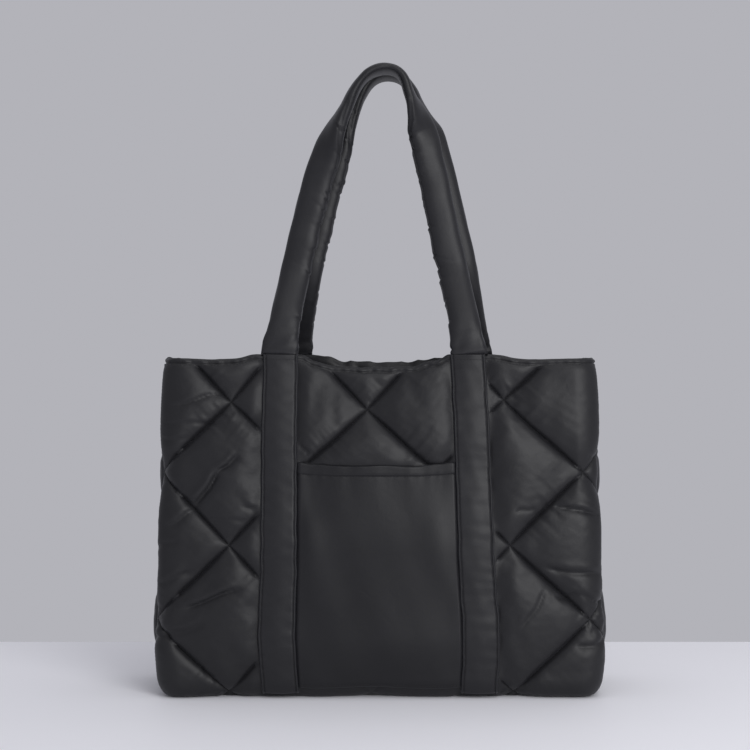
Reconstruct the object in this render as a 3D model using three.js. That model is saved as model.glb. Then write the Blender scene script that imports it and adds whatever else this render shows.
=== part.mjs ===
// A quilted puffer tote bag that stands on its base with both padded handles up.
// Millimetres, +Z up, +X along the width, and the front, with its patch pocket, towards -Y.
// The origin is on the floor under the middle of the bag.
import * as THREE from "three";

// Body
const bagWidth = 467; // over the side walls, halfway up
const bagHeight = 369; // floor to the rim, where the straps cross it
const baseDepth = 130; // front wall to back wall, low down
const mouthDepth = 100; // the same at the rim's corners
const edgeRadius = 20; // rounding of the upright corners and of the foot
const footCorner = 2; // what is left of that rounding at the foot seam's corners
const sideFlare = 6; // how much further out the side walls stand low down
const cornerShare = 0.9; // how much of an upright corner's rounding the broad walls wrap
const bellyBulge = 9; // how far the broad walls swell out between their corners
const gussetFold = 24; // how far the side walls tuck in at the rim
const rimSag = 16; // how far the rim hangs down between the straps

// Quilted wall
const seamOut = 1.5; // cloth outside the wall's own surface, at a seam
const seamIn = 1.5; // and inside it
const puffOut = 10; // padding outside, at the middle of a diamond
const puffIn = 4.5; // and inside
const rimOut = 2.2; // padding left in the turned edge of the rim
const seamReach = 26; // distance over which the padding rises from a seam
const cornerReach = 16; // and from a broad wall's corner seam, where it is fuller
const quiltWidth = 152; // diamond, point to point across
const quiltHeight = 158; // diamond, point to point upwards
const quiltShift = -9; // a column of crossings, from the middle of a broad wall
const quiltRaise = 5; // a row of crossings, above the floor
const quiltSteps = 8; // grid steps across a diamond
const seamGap = 0.3; // clearance between pieces that are sewn together
const floorGap = 0.3; // the walls' foot above the floor, which the base panel rests on

// Straps, flat bands sewn down over the front and back walls
const strapSpacing = 212; // between the middles of a pair, at the foot
const strapClosing = 7; // how much closer together they are at the rim
const strapLean = -6; // how far a pair leans to one side between the foot and the rim
const strapWidth = 40;
const strapThickness = 2.5;
const strapBed = 2.5; // padding left pressed under a strap
const bedReach = 7; // width beside a strap where that pressed padding ends
const strapFullness = 1.5; // how much fuller a strap is along its middle

// Patch pocket, one flat cloth between the front straps
const pocketBottom = 14; // above the floor
const pocketTop = 252;
const pocketThickness = 1.5;
const pocketHem = 13; // height of the turned hem along its mouth
const hemThickness = 1; // extra cloth in that hem
const pocketFullness = 3; // how much further out it stands in its middle
const pocketPress = 0.5; // share of the padding that stays behind the pocket
const pressReach = 14; // height over which the padding swells up again above it

// Handles, padded loops that rise from the straps' tops
const handleRise = 313; // rim to the middle of the loop's crown
const handleWidth = 33;
const handleThickness = 20;
const handleEnd = 9; // thickness where it is sewn flat at the rim
const handleGap = 0.8; // between the two loops, where they lean together
const handleGather = 110; // height over which the two loops draw together
const frontCrown = 5; // where the front loop's crown sits, from the bag's middle
const backCrown = 10; // and the back loop's
const handleSteps = 30;
const handleSides = 12;
const handleCrowding = 1.4; // how much closer together the steps are at the crown, where 1 is not at all
const handleSquareness = 2.6; // exponent of its rounded section, where 2 is an ellipse

// The body from floor to rim: shares of sideFlare, of the way from baseDepth to mouthDepth, of bellyBulge
// and of gussetFold.
const bodySections = [
  { height: 0.0, flare: 0.0, close: 0.0, belly: 0.0, fold: 0.0 },
  { height: 0.18, flare: 1.0, close: 0.0, belly: 0.8, fold: 0.33 },
  { height: 0.42, flare: 0.05, close: 0.2, belly: 1.0, fold: 0.42 },
  { height: 0.72, flare: -0.05, close: 0.6, belly: 0.3, fold: 0.67 },
  { height: 1.0, flare: -0.45, close: 1.0, belly: -1.0, fold: 1.0 },
];

// The rim's sag in shares of rimSag. place is 0 at a wall's middle, 1 at a strap's edge, 2 at the corner seam.
const rimRows = [
  { place: 0.0, front: 1.0, back: 0.65, side: 0.8 },
  { place: 0.5, front: 0.95, back: 0.5, side: 0.7 },
  { place: 0.8, front: 0.55, back: 0.3, side: 0.6 },
  { place: 1.0, front: 0.1, back: 0.05, side: 0.5 },
  { place: 1.4, front: 0.45, back: 0.45, side: 0.4 },
  { place: 2.0, front: 0.35, back: 0.35, side: 0.35 },
];

// Half of a handle's line, as seen from the front: shares of handleRise, of half the straps' spacing at the rim,
// and of the way from the middle of the straps to the crown's place.
const handleLine = [
  { rise: 0.0, spread: 1.0, lean: 0.0 },
  { rise: 0.128, spread: 0.94, lean: 0.0 },
  { rise: 0.276, spread: 0.855, lean: 0.0 },
  { rise: 0.494, spread: 0.705, lean: 0.05 },
  { rise: 0.637, spread: 0.6, lean: 0.2 },
  { rise: 0.78, spread: 0.475, lean: 0.4 },
  { rise: 0.869, spread: 0.365, lean: 0.6 },
  { rise: 0.918, spread: 0.3, lean: 0.7 },
  { rise: 0.952, spread: 0.245, lean: 0.85 },
  { rise: 0.978, spread: 0.18, lean: 0.95 },
  { rise: 0.994, spread: 0.1, lean: 1.0 },
  { rise: 1.0, spread: 0.0, lean: 1.0 },
];

// A handle's section from its sewn end to its crown: how far it has swollen from flat to full, and the left and the
// right leg's shares of a quarter turn.
const handleSections = [
  { rise: 0.0, swell: 0.0, left: 0.0, right: 0.0 },
  { rise: 0.06, swell: 0.55, left: 0.0, right: 0.0 },
  { rise: 0.14, swell: 0.95, left: 0.0, right: 0.0 },
  { rise: 0.5, swell: 1.0, left: 0.05, right: 0.03 },
  { rise: 0.66, swell: 1.0, left: 0.13, right: 0.08 },
  { rise: 0.71, swell: 1.0, left: 0.25, right: 0.12 },
  { rise: 0.78, swell: 0.85, left: 0.65, right: 0.27 },
  { rise: 0.85, swell: 0.6, left: 0.88, right: 0.7 },
  { rise: 0.918, swell: 0.3, left: 0.97, right: 0.95 },
  { rise: 1.0, swell: 0.12, left: 1.0, right: 1.0 },
];

// Sizes that follow from those above
const quarterTurn = Math.PI / 2;
const footLength = edgeRadius * quarterTurn;
const footCentre = floorGap + seamOut + edgeRadius;
const wallLength = footLength + bagHeight - footCentre;
const broadCorner = edgeRadius * quarterTurn * cornerShare;
const sideCorner = edgeRadius * quarterTurn * (1 - cornerShare);
const broadFlat = bagWidth / 2 - edgeRadius;
const sideFlat = baseDepth / 2 - edgeRadius;
const broadHalf = broadFlat + broadCorner;
const sideHalf = sideFlat + sideCorner;
const strapInner = strapSpacing / 2 - strapWidth / 2;
const strapOuter = strapSpacing / 2 + strapWidth / 2;
const gridStep = quiltWidth / quiltSteps;
const rowStep = quiltHeight / quiltSteps;
const nearestLines = gridStep / 3;

const clamp = (value, low, high) => Math.min(Math.max(value, low), high);
const mix = (from, to, share) => from + (to - from) * share;

// 0 to 1, with no slope at either end
function ease(share) {
  const t = clamp(share, 0, 1);
  return t * t * (3 - 2 * t);
}

// 0 to 1 along a quarter circle: steep at first, as padding swells from a seam
function swell(share) {
  const left = 1 - clamp(share, 0, 1);
  return Math.sqrt(1 - left * left);
}

// A column of a table at a place in its first column, with smooth steps between the rows
function lookUp(rows, first, place, column) {
  const next = rows.findIndex((row) => row[first] >= place);
  if (next <= 0) return rows[next < 0 ? rows.length - 1 : 0][column];
  const [a, b] = [rows[next - 1], rows[next]];
  return mix(a[column], b[column], ease((place - a[first]) / (b[first] - a[first])));
}

// A wall's line from the foot seam up to the rim: its height, and how far in from the wall's plane it lies
function profile(up) {
  const turn = up / edgeRadius;
  if (turn < quarterTurn) {
    const inset = edgeRadius * (1 - Math.sin(turn));
    return { inset, height: footCentre - edgeRadius * Math.cos(turn) };
  }
  return { inset: 0, height: footCentre + up - footLength };
}

// The body's half width, half depth, belly and side fold at a height
function sectionAt(height) {
  const share = height / bagHeight;
  const at = (column) => lookUp(bodySections, "height", share, column);
  return {
    halfWidth: bagWidth / 2 + sideFlare * at("flare"),
    halfDepth: mix(baseDepth, mouthDepth, at("close")) / 2,
    belly: bellyBulge * at("belly"),
    fold: gussetFold * at("fold"),
  };
}

// 1 in the middle of a wall and 0 at its seams, with no slope there
const crown = (share) => (1 - clamp(share * share, 0, 1)) ** 2;

// How far the rim hangs down at a distance from the middle of a wall
function rimDrop(wall, across) {
  const away = Math.abs(across);
  let place = (2 * away) / sideHalf;
  if (wall !== "side") {
    if (away <= strapInner) place = away / strapInner;
    else if (away <= strapOuter) place = 1;
    else place = 1 + (away - strapOuter) / (broadHalf - strapOuter);
  }
  return rimSag * lookUp(rimRows, "place", clamp(place, 0, 2), wall);
}

// How far a broad wall's straps, and the quilting with them, lie off their place at the foot
function lean(across, height) {
  const fade = ease((broadHalf - Math.abs(across)) / (broadHalf - strapOuter));
  const closing = (strapClosing / strapSpacing) * across;
  return (height / bagHeight) * (strapLean - closing) * fade;
}

// A point of the wall's own surface. across runs from seam to seam and up from the foot seam to the rim.
// Broad walls lie towards -Y and side walls towards +X; the opposite ones are the same, turned half round.
function wallSurface(wall, across, up) {
  const { inset, height } = profile(up);
  const { halfWidth, halfDepth, belly, fold } = sectionAt(height);
  const isSide = wall === "side";
  const radius = Math.max(edgeRadius - inset, footCorner);
  const [reach, offset] = isSide ? [halfDepth, halfWidth] : [halfWidth, halfDepth];
  const [nominalFlat, half] = isSide ? [sideFlat, sideHalf] : [broadFlat, broadHalf];
  const flat = reach - inset - radius;
  const past = Math.max(Math.abs(across) - nominalFlat, 0) / edgeRadius;
  const leaning = isSide ? 0 : lean(across, height);
  const swollen = (isSide ? -fold : belly) * crown(across / half);
  const along =
    past > 0
      ? Math.sign(across) * (flat + radius * Math.sin(past)) + leaning
      : (across / nominalFlat) * flat + leaning;
  const out = offset - inset - radius + radius * Math.cos(past) + swollen;
  const low = ease((height / bagHeight - 0.5) / 0.5);
  const z = height - rimDrop(wall, across) * low;
  return isSide ? new THREE.Vector3(out, along, z) : new THREE.Vector3(along, -out, z);
}

// The same point moved out of the surface by some thickness, but not through the floor
function wallPoint(wall, across, up, thickness) {
  const nudge = 0.5;
  const point = wallSurface(wall, across, up);
  const acrossWay = wallSurface(wall, across + nudge, up).sub(wallSurface(wall, across - nudge, up));
  const upWay = wallSurface(wall, across, up + nudge).sub(wallSurface(wall, across, up - nudge));
  point.addScaledVector(acrossWay.cross(upWay).normalize(), thickness);
  point.z = Math.max(point.z, floorGap);
  return point;
}

const heightOf = (up) => up - footLength + footCentre;

// 0 on the stitching of the diamond quilting and 1 in the middle of a diamond
function quilting(across, height, shift) {
  const u = (across - shift) / quiltWidth;
  const w = (height - quiltRaise) / quiltHeight;
  const product = Math.abs(Math.cos(2 * Math.PI * w) - Math.cos(2 * Math.PI * u)) / 2;
  return Math.sqrt(product);
}

// How far the padding has risen, given how near the wall's seams and straps are
function fullness(wall, across, up) {
  const isSide = wall === "side";
  const half = isSide ? sideHalf : broadHalf;
  const rising = [up, wallLength - up].map((d) => swell(d / seamReach));
  rising.push(swell((half - Math.abs(across)) / (isSide ? seamReach : cornerReach)));
  if (!isSide) {
    const fromStrap = Math.abs(Math.abs(across) - strapSpacing / 2) - strapWidth / 2;
    rising.push(swell(fromStrap / seamReach));
  }
  const shift = isSide ? 0 : quiltShift;
  return quilting(across, heightOf(up), shift) * rising.reduce((a, b) => a * b);
}

// Thickness of the wall outside its own surface
function outside(wall, across, up) {
  const isSide = wall === "side";
  const turnedEdge = rimOut * ease(1 - (wallLength - up) / rowStep);
  if (isSide) return seamOut + Math.max(puffOut * fullness(wall, across, up), turnedEdge);
  const fromStrap = Math.abs(Math.abs(across) - strapSpacing / 2) - strapWidth / 2;
  const bed = strapBed * ease(1 - fromStrap / bedReach);
  const behindPocket = wall === "front" && Math.abs(across) < strapInner;
  const pressed = behindPocket ? 1 - ease(0.5 + (pocketTop - heightOf(up)) / pressReach) * (1 - pocketPress) : 1;
  return seamOut + Math.max(puffOut * pressed * fullness(wall, across, up), bed, turnedEdge);
}

const inside = (wall, across, up) => seamIn + puffIn * fullness(wall, across, up);

// Sorted grid lines between two ends: the named ones, and the quilting's own where those leave room
function gridLines(low, high, origin, step, named) {
  const kept = [low, high, ...named];
  for (let k = Math.ceil((low - origin) / step); origin + k * step < high; k += 1) {
    const line = origin + k * step;
    if (kept.every((other) => Math.abs(other - line) > nearestLines)) kept.push(line);
  }
  return kept.sort((a, b) => a - b);
}

// A closed mesh between an outer and an inner surface on one grid. leansUp says, for the cell between two
// columns and two rows, whether its diagonal runs up to the right.
function slab(columns, rows, outer, inner, leansUp) {
  const positions = [];
  const faces = [];
  const [across, up] = [columns.length, rows.length];
  for (const surface of [outer, inner])
    for (const row of rows) for (const column of columns) positions.push(...surface(column, row).toArray());
  const at = (side, i, j) => side * across * up + j * across + i;
  const quad = (a, b, c, d, split) =>
    split ? faces.push(a, b, c, a, c, d) : faces.push(a, b, d, b, c, d);
  for (let j = 0; j < up - 1; j += 1)
    for (let i = 0; i < across - 1; i += 1) {
      const split = leansUp((columns[i] + columns[i + 1]) / 2, (rows[j] + rows[j + 1]) / 2);
      quad(at(0, i, j), at(0, i + 1, j), at(0, i + 1, j + 1), at(0, i, j + 1), split);
      quad(at(1, i, j), at(1, i, j + 1), at(1, i + 1, j + 1), at(1, i + 1, j), split);
    }
  for (let i = 0; i < across - 1; i += 1) {
    quad(at(1, i, 0), at(1, i + 1, 0), at(0, i + 1, 0), at(0, i, 0), true);
    quad(at(0, i, up - 1), at(0, i + 1, up - 1), at(1, i + 1, up - 1), at(1, i, up - 1), true);
  }
  for (let j = 0; j < up - 1; j += 1) {
    quad(at(0, 0, j), at(0, 0, j + 1), at(1, 0, j + 1), at(1, 0, j), true);
    quad(at(0, across - 1, j), at(1, across - 1, j), at(1, across - 1, j + 1), at(0, across - 1, j + 1), true);
  }
  return closedGeometry(positions, faces);
}

function closedGeometry(positions, faces) {
  const geometry = new THREE.BufferGeometry();
  geometry.setAttribute("position", new THREE.Float32BufferAttribute(positions, 3));
  geometry.setIndex(faces);
  geometry.computeVertexNormals();
  return geometry;
}

// Whether the nearer stitching line of the quilting runs up to the right at a place
function stitchingLeansUp(shift) {
  return (across, height) => {
    const u = (across - shift) / quiltWidth;
    const w = (height - quiltRaise) / quiltHeight;
    const fromLine = (x) => Math.abs(x - Math.round(x));
    return fromLine(u - w) < fromLine(u + w);
  };
}

const footRows = [0.25, 0.5, 0.75, 1].map((share) => share * footLength);
const strapStart = footRows[1];
const pocketStart = pocketBottom - footCentre + footLength;
const pocketEnd = pocketTop - footCentre + footLength;
const hemStart = pocketEnd - pocketHem;
const rowOrigin = quiltRaise - footCentre + footLength;
const wallRows = gridLines(0, wallLength, rowOrigin, rowStep, [...footRows, hemStart, pocketEnd]);

function wallColumns(wall) {
  const ends = (half) => [-half + seamGap / 2, half - seamGap / 2];
  if (wall === "side") return gridLines(...ends(sideHalf), 0, gridStep, [-sideFlat, sideFlat]);
  const corner = [0, 1 / 3, 2 / 3].map((share) => broadFlat + share * broadCorner);
  const named = [strapInner, strapSpacing / 2, strapOuter, ...corner];
  return gridLines(...ends(broadHalf), quiltShift, gridStep, [...named, ...named.map((line) => -line)]);
}

// A quilted wall between its seams
function quiltedWall(wall) {
  const leansUp = stitchingLeansUp(wall === "side" ? 0 : quiltShift);
  return slab(
    wallColumns(wall),
    wallRows,
    (across, up) => wallPoint(wall, across, up, outside(wall, across, up)),
    (across, up) => wallPoint(wall, across, up, -inside(wall, across, up)),
    (across, up) => leansUp(across, heightOf(up)),
  );
}

// The quilted base: flat below, where it rests, and padded above
function quiltedBase() {
  const [halfX, halfY] = [bagWidth, baseDepth].map((size) => size / 2 - edgeRadius - seamGap);
  const columns = gridLines(-halfX, halfX, 0, gridStep, []);
  const rows = gridLines(-halfY, halfY, 0, rowStep, []);
  const edge = floorGap + seamOut + seamIn;
  // The four corners are cut back to clear the rounding of the walls' foot
  const place = (x, y, z) => {
    const cut = Math.abs(x) === halfX && Math.abs(y) === halfY ? footCorner : 0;
    return new THREE.Vector3(x - Math.sign(x) * cut, y - Math.sign(y) * cut, z);
  };
  const padding = (x, y) => {
    const rising = [halfX - Math.abs(x), halfY - Math.abs(y)].map((d) => swell(d / seamReach));
    return (puffIn + puffOut / 2) * quilting(x, y + quiltRaise, 0) * rising[0] * rising[1];
  };
  return slab(
    columns,
    rows,
    (x, y) => place(x, y, edge + padding(x, y)),
    (x, y) => place(x, y, 0),
    stitchingLeansUp(0),
  );
}

// A strap, from the foot to the rim, over the middle at strapMiddle
function sewnStrap(wall, strapMiddle) {
  const half = strapWidth / 2 - seamGap;
  const columns = [-half, 0, half].map((from) => strapMiddle + from);
  const rows = wallRows.filter((row) => row >= strapStart);
  const bed = seamOut + strapBed + seamGap;
  const full = (across) => strapFullness * crown((across - strapMiddle) / half);
  return slab(
    columns,
    rows,
    (across, up) => wallPoint(wall, across, up, bed + strapThickness + full(across)),
    (across, up) => wallPoint(wall, across, up, bed),
    () => true,
  );
}

// The patch pocket, flat over the pressed padding, with a thicker hem along its mouth
function patchPocket() {
  const columns = wallColumns("front").filter((c) => Math.abs(c) <= strapInner);
  const rows = [pocketStart, ...wallRows.filter((row) => row > pocketStart + 1 && row <= pocketEnd)];
  const leansUp = stitchingLeansUp(quiltShift);
  const under = (across, up) => {
    const stretched = pocketFullness * crown(across / strapInner) * swell((up - pocketStart) / seamReach);
    const padded = outside("front", across, up) - seamOut;
    return seamOut + seamGap + Math.max(stretched, padded);
  };
  const cloth = (up) => pocketThickness + (up >= hemStart ? hemThickness : 0);
  return slab(
    columns,
    rows,
    (across, up) => wallPoint("front", across, up, under(across, up) + cloth(up)),
    (across, up) => wallPoint("front", across, up, under(across, up)),
    (across, up) => leansUp(across, heightOf(up)),
  );
}

// Points round a handle's section, where its half width and half thickness are 1
const roundedSection = Array.from({ length: handleSides }, (_, n) => {
  const angle = (2 * Math.PI * n) / handleSides;
  return [Math.cos(angle), Math.sin(angle)].map((x) => Math.sign(x) * Math.abs(x) ** (2 / handleSquareness));
});

// A handle: a padded tube that leaves the rim flat, swells, and turns on edge towards its crown.
// side is -1 for the front loop and 1 for the back one.
function paddedHandle(side, crownPlace) {
  const strapTop = wallSurface(side < 0 ? "front" : "back", strapSpacing / 2, wallLength);
  const bedTop = seamOut + strapBed + seamGap + strapThickness;
  const sewnY = side * (Math.abs(strapTop.y) + (bedTop - seamIn) / 2);
  const sewnZ = strapTop.z + seamGap;
  const sewnMiddle = -side * strapLean;
  const halfSpacing = (strapSpacing - strapClosing) / 2;
  const halves = (rise, leg) => {
    const swollen = lookUp(handleSections, "rise", rise, "swell");
    return {
      width: mix(strapWidth, handleWidth, swollen) / 2,
      thickness: mix(handleEnd, handleThickness, swollen) / 2,
      turn: quarterTurn * lookUp(handleSections, "rise", rise, leg),
    };
  };
  const row = ({ rise, spread, lean: leaning }, way) => {
    const across = way * spread * halfSpacing + mix(sewnMiddle, crownPlace, leaning);
    return new THREE.Vector3(across, 0, rise * handleRise);
  };
  const up = handleLine.map((entry) => row(entry, -1));
  const down = handleLine.map((entry) => row(entry, 1)).reverse();
  const line = new THREE.CatmullRomCurve3([...up, ...down.slice(1)]);
  const legAt = (share) => (share < 0.5 ? "left" : "right");
  const centreAt = (share) => {
    const centre = line.getPointAt(clamp(share, 0, 1));
    const { width, thickness, turn } = halves(centre.z / handleRise, legAt(share));
    const [w, t] = [width * Math.sin(turn), thickness * Math.cos(turn)];
    const reach = Math.max(...roundedSection.map(([x, y]) => x * w + y * t));
    const gathered = ease(centre.z / handleGather);
    centre.y = mix(sewnY, side * (reach + handleGap / 2), gathered);
    centre.z += sewnZ;
    return centre;
  };
  const [positions, faces] = [[], []];
  const depthWay = new THREE.Vector3(0, 1, 0);
  for (let k = 0; k <= handleSteps; k += 1) {
    // The steps are closer together towards the crown
    const fromCrown = (2 * k) / handleSteps - 1;
    const share = 0.5 + 0.5 * Math.sign(fromCrown) * Math.abs(fromCrown) ** handleCrowding;
    const centre = centreAt(share);
    const { width, thickness, turn } = halves((centre.z - sewnZ) / handleRise, legAt(share));
    const nudge = 0.002;
    const ahead = centreAt(share + nudge).sub(centreAt(share - nudge)).normalize();
    if (k === 0) ahead.set(0, 0, 1);
    if (k === handleSteps) ahead.set(0, 0, -1);
    const outward = new THREE.Vector3().crossVectors(ahead, depthWay).normalize();
    const deep = new THREE.Vector3().crossVectors(outward, ahead);
    for (const [w, t] of roundedSection.map(([x, y]) => [x * width, y * thickness])) {
      const point = centre.clone();
      point.addScaledVector(outward, w * Math.cos(turn) - t * Math.sin(turn));
      point.addScaledVector(deep, w * Math.sin(turn) + t * Math.cos(turn));
      positions.push(...point.toArray());
    }
  }
  const at = (k, n) => k * handleSides + (n % handleSides);
  for (let k = 0; k < handleSteps; k += 1)
    for (let n = 0; n < handleSides; n += 1) {
      faces.push(at(k, n), at(k + 1, n), at(k + 1, n + 1));
      faces.push(at(k, n), at(k + 1, n + 1), at(k, n + 1));
    }
  for (let n = 1; n < handleSides - 1; n += 1) {
    faces.push(at(0, 0), at(0, n), at(0, n + 1));
    faces.push(at(handleSteps, 0), at(handleSteps, n + 1), at(handleSteps, n));
  }
  return closedGeometry(positions, faces);
}

const shellCloth = new THREE.MeshStandardMaterial({ color: 0x2c2c30, roughness: 0.62, metalness: 0 });
const strapCloth = new THREE.MeshStandardMaterial({ color: 0x2e2e32, roughness: 0.6, metalness: 0 });
const pocketCloth = new THREE.MeshStandardMaterial({ color: 0x29292c, roughness: 0.58, metalness: 0 });

const bag = new THREE.Group();

function add(name, geometry, material, turnedRound = false) {
  const mesh = new THREE.Mesh(geometry, material);
  mesh.name = name;
  mesh.rotation.z = turnedRound ? Math.PI : 0;
  bag.add(mesh);
}

add("front_panel", quiltedWall("front"), shellCloth);
add("back_panel", quiltedWall("back"), shellCloth, true);
add("right_gusset", quiltedWall("side"), shellCloth);
add("left_gusset", quiltedWall("side"), shellCloth, true);
add("base_panel", quiltedBase(), shellCloth);
for (const [place, way] of [["left", -1], ["right", 1]]) {
  const strapMiddle = (way * strapSpacing) / 2;
  add(`front_strap_${place}`, sewnStrap("front", strapMiddle), strapCloth);
  add(`back_strap_${place}`, sewnStrap("back", -strapMiddle), strapCloth, true);
}
add("front_pocket", patchPocket(), pocketCloth);
add("front_handle", paddedHandle(-1, frontCrown), shellCloth);
add("back_handle", paddedHandle(1, backCrown), shellCloth);

// The origin goes under the middle of the whole bag
const middle = new THREE.Box3().setFromObject(bag).getCenter(new THREE.Vector3());
bag.position.set(-middle.x, -middle.y, 0);

export default bag;
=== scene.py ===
"""A quilted puffer tote bag, dressed in cloth round its packed frame.

Every length is in metres. The front, with its patch pocket, faces -Y.
"""

import math

import bpy
import numpy as np
from bpy.props import FloatProperty, FloatVectorProperty, IntProperty, PointerProperty
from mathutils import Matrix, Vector


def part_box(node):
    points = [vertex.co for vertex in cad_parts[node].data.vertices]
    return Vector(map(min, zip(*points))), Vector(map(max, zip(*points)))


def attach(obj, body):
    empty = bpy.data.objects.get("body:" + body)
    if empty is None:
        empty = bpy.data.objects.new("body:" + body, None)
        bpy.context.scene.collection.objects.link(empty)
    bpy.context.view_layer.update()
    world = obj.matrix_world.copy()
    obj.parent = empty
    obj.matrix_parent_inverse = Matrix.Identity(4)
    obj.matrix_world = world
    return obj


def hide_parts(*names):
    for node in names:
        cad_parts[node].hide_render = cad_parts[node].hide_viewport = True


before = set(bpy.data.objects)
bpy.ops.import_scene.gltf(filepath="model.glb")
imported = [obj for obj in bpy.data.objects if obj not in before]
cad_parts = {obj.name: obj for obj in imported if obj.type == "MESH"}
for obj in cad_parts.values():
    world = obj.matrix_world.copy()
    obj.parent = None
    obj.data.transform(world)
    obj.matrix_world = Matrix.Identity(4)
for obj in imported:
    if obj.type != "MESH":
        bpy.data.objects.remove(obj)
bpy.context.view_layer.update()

bl_info = {
    "name": "Puffer Tote Bag",
    "version": (1, 0, 0),
    "blender": (4, 5, 0),
    "location": "3D View > Sidebar > Tote",
    "description": "Builds a quilted tote with padded handles, flat straps and a patch pocket",
    "category": "Add Mesh",
}

MM = 0.001

# The body from floor to rim: shares of the side flare, of the way from the base's depth to the
# mouth's, of the belly and of the side walls' fold
BODY_SECTIONS = {
    "height": (0.0, 0.18, 0.42, 0.72, 1.0),
    "flare": (0.0, 1.0, 0.05, -0.05, -0.45),
    "close": (0.0, 0.0, 0.2, 0.6, 1.0),
    "belly": (0.0, 0.8, 1.0, 0.3, -1.0),
    "fold": (0.0, 0.33, 0.42, 0.67, 1.0),
}
# The rim's sag. Place is 0 at a wall's middle, 1 at a strap's edge and 2 at the corner seam.
RIM_ROWS = {
    "place": (0.0, 0.5, 0.8, 1.0, 1.4, 2.0),
    "front": (1.0, 0.95, 0.55, 0.1, 0.45, 0.35),
    "back": (0.65, 0.5, 0.3, 0.05, 0.45, 0.35),
    "side": (0.8, 0.7, 0.6, 0.5, 0.4, 0.35),
}
# Half of a handle's line, seen from the front: shares of its rise, of half the straps' spacing, and
# of the way from the straps' middle to the crown's place
HANDLE_LINE = {
    "rise": (0.0, 0.128, 0.276, 0.494, 0.637, 0.78, 0.869, 0.918, 0.952, 0.978, 0.994, 1.0),
    "spread": (1.0, 0.94, 0.855, 0.705, 0.6, 0.475, 0.365, 0.3, 0.245, 0.18, 0.1, 0.0),
    "lean": (0.0, 0.0, 0.0, 0.05, 0.2, 0.4, 0.6, 0.7, 0.85, 0.95, 1.0, 1.0),
}
# A handle's section: how far it has swollen from flat, and the left and the right leg's shares of a
# quarter turn
HANDLE_SECTIONS = {
    "rise": (0.0, 0.06, 0.14, 0.5, 0.66, 0.71, 0.78, 0.85, 0.918, 1.0),
    "swell": (0.0, 0.55, 0.95, 1.0, 1.0, 1.0, 0.85, 0.6, 0.3, 0.12),
    "left": (0.0, 0.0, 0.0, 0.05, 0.13, 0.25, 0.65, 0.88, 0.97, 1.0),
    "right": (0.0, 0.0, 0.0, 0.03, 0.08, 0.12, 0.27, 0.7, 0.95, 1.0),
}
# Sharp folds in the walls' cloth: both ends as (across, height), then depth and half width, in
# millimetres
FRONT_FOLDS = (
    ((-222, 315), (-166, 334), 2.6, 4.0),
    ((-232, 296), (-156, 298), 1.6, 3.0),
    ((-234, 279), (-205, 280), 1.4, 2.6),
    ((-198, 203), (-171, 243), 6.5, 4.0),
    ((-172, 243), (-150, 260), 4.5, 3.6),
    ((-222, 183), (-197, 203), 3.0, 3.6),
    ((-146, 205), (-128, 201), 2.0, 2.8),
    ((-182, 192), (-140, 188), 1.4, 3.0),
    ((-204, 96), (-146, 118), 4.8, 4.0),
    ((-243, 63), (-216, 68), 4.2, 4.4),
    ((-216, 68), (-182, 80), 3.2, 4.4),
    ((-231, 121), (-198, 136), 2.4, 4.0),
    ((-236, 160), (-214, 168), 1.8, 3.4),
    ((186, 207), (233, 194), 4.6, 3.6),
    ((149, 199), (169, 202), 1.6, 2.6),
    ((178, 139), (233, 131), 4.2, 4.2),
    ((148, 76), (176, 115), 2.0, 3.0),
    ((187, 107), (210, 111), 3.0, 3.4),
    ((210, 111), (238, 99), 3.2, 3.6),
    ((205, 56), (235, 59), 3.0, 4.0),
    ((222, 262), (236, 256), 1.8, 3.0),
    ((-84, 274), (-74, 262), 2.4, 3.0),
)
BACK_FOLDS = (
    ((-214, 236), (-168, 250), 3.0, 4.0),
    ((-236, 120), (-190, 112), 3.6, 4.2),
    ((-60, 190), (-18, 204), 3.0, 4.4),
    ((22, 92), (62, 76), 3.2, 4.2),
    ((40, 300), (70, 282), 2.4, 3.6),
    ((150, 150), (200, 166), 3.2, 4.0),
    ((182, 60), (232, 66), 3.4, 4.4),
    ((170, 318), (226, 300), 2.6, 3.6),
)
SIDE_FOLDS = (
    ((-50, 128), (-12, 118), 3.0, 4.0),
    ((14, 210), (48, 224), 2.6, 4.0),
    ((-40, 52), (-4, 60), 3.0, 4.2),
    ((6, 98), (44, 90), 2.6, 3.6),
    ((-46, 262), (-20, 252), 2.2, 3.6),
)
# How the cloth simulation moves thin nylon
THIN_NYLON = {
    "quality": 6,
    "mass": 0.05,
    "air_damping": 2,
    "tension_stiffness": 15,
    "compression_stiffness": 15,
    "shear_stiffness": 5,
    "bending_stiffness": 0.15,
}
# Share of its room that the padding fills before it pushes the cloth out
PLUMP_AT_FIRST = 0.84
# Height of the rim's rounded edge
RIM_ROUND = 3.2 * MM


def length(name, description, default):
    """A size that the user can change, in metres."""
    return FloatProperty(
        name=name, description=description, default=default, min=0, precision=4, unit="LENGTH"
    )


def offset(name, description, default):
    """A size that may lie to either side, in metres."""
    return FloatProperty(name=name, description=description, default=default, precision=4, unit="LENGTH")


def share(name, description, default):
    """A part of a whole."""
    return FloatProperty(
        name=name, description=description, default=default, min=0, max=1, subtype="FACTOR"
    )


def number(name, description, default):
    """A plain number."""
    return FloatProperty(name=name, description=description, default=default, min=0)


def colour(name, description, default):
    """A cloth or light colour."""
    return FloatVectorProperty(
        name=name, description=description, default=default, size=3, min=0, max=1, subtype="COLOR"
    )


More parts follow.
